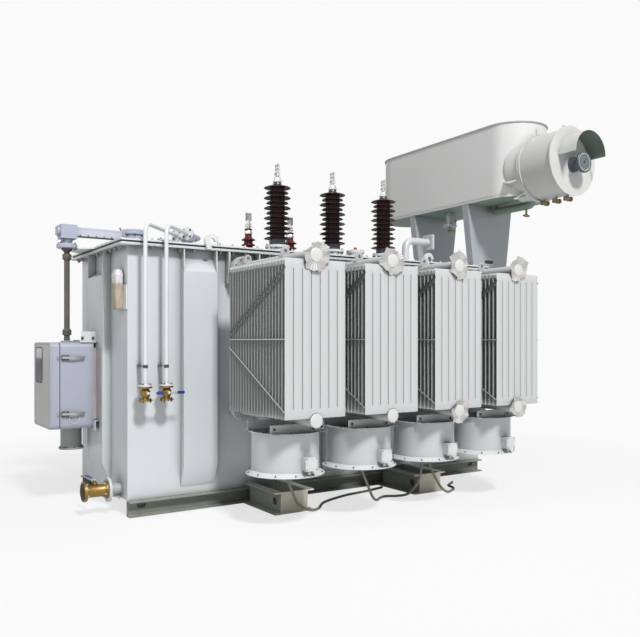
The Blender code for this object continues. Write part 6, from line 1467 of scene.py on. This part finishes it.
bar = plate([(x - 0.010, DRAIN_Y - 0.013), (x + 0.010, DRAIN_Y - 0.013), (x + 0.007, DRAIN_Y + 0.05),
             (x + 0.010, DRAIN_Y + 0.08), (x + 0.010, DRAIN_Y + 0.245), (x - 0.010, DRAIN_Y + 0.245),
             (x - 0.010, DRAIN_Y + 0.08), (x - 0.007, DRAIN_Y + 0.05)], "XY", z, z + 0.0035)
solid("drain_lever_plate", joined(bar, turned([(0.011, 0.003), (0.011, 0.010), (0.008, 0.012)],
                                              (x, DRAIN_Y, z), steps=6)), cast_silver, body="drain_handle",
      edge=0.0006, replaces=["drain_lever"])
solid("drain_lever_grip", box((x - 0.0125, DRAIN_Y + 0.09, z - 0.002),
                              (x + 0.0125, DRAIN_Y + 0.250, z + 0.006)),
      grip_violet, body="drain_handle", edge=0.0025)

# Instrument. One gauge on the left end is still in its wrapping: brown paper tied round the lower part, and
# white film drawn over the top. A white plate stands beside it.
kraft_paper = plain("kraft_paper", (0.42, 0.355, 0.27), 0.7, grain=18.0, change=0.45, bump=0.6)
paper_film = plain("paper_film", (0.58, 0.57, 0.60), 0.32, grain=20.0, change=0.2, bump=0.6, Coat_Weight=0.5)
plate_white = painted("plate_white", (0.68, 0.70, 0.74), 0.35)
wrap_low, wrap_high = (np.array(corner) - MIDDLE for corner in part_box("wrapped_instrument"))


def wrapping(heights, grow, seed, lean=0.0):
    """Crumpled wrapping round the instrument.

    On a grid of height and angle the section is a rounded rectangle, a superellipse of the box's half widths,
    and sines of angle and height dent it inwards by up to twelve millimetres.
    """
    middle = (wrap_low + wrap_high) / 2
    half_x, half_y = (wrap_high - wrap_low)[:2] / 2
    angle = (np.arange(56) * 2 * pi / 56)[None]
    z, grow = np.array(heights)[:, None], np.array(grow)[:, None]
    shape = (np.abs(np.cos(angle)) ** 5 + np.abs(np.sin(angle)) ** 5) ** -0.2
    dent = (0.5 + 0.5 * np.sin(5 * angle + 31 * z + seed)) * (0.5 + 0.5 * np.sin(9 * angle - 57 * z + 2 * seed))
    away = shape * grow * (1 - 0.10 * dent)
    points = np.stack(np.broadcast_arrays(middle[0] + half_x * away * np.cos(angle),
                                          middle[1] + half_y * away * np.sin(angle) + lean * (z - heights[0]),
                                          z), -1)
    return skin(points, around=True, caps=True)


paper_z = np.linspace(wrap_low[2] + 0.015, 1.871, 22)
film_z = np.linspace(1.867, wrap_high[2], 16)
solid("paper_wrap",
      wrapping(paper_z, np.interp(paper_z, [wrap_low[2] + 0.015, wrap_low[2] + 0.03, 1.86, 1.871],
                                  [0.80, 0.96, 0.98, 0.90]), 0.4), kraft_paper,
      replaces=["wrapped_instrument"], sharp=60)
solid("film_wrap_top",
      wrapping(film_z, np.interp(film_z, [1.867, 1.885, 1.94, wrap_high[2]], [0.86, 0.96, 1.00, 0.70]),
               2.1, 0.10), paper_film, sharp=60)
solid("instrument_plate", box((-TANK_END - 0.012, wrap_low[1] - 0.075, 1.66),
                              (-TANK_END - 0.0005, wrap_low[1] + 0.01, 1.86)),
      plate_white, edge=0.002)
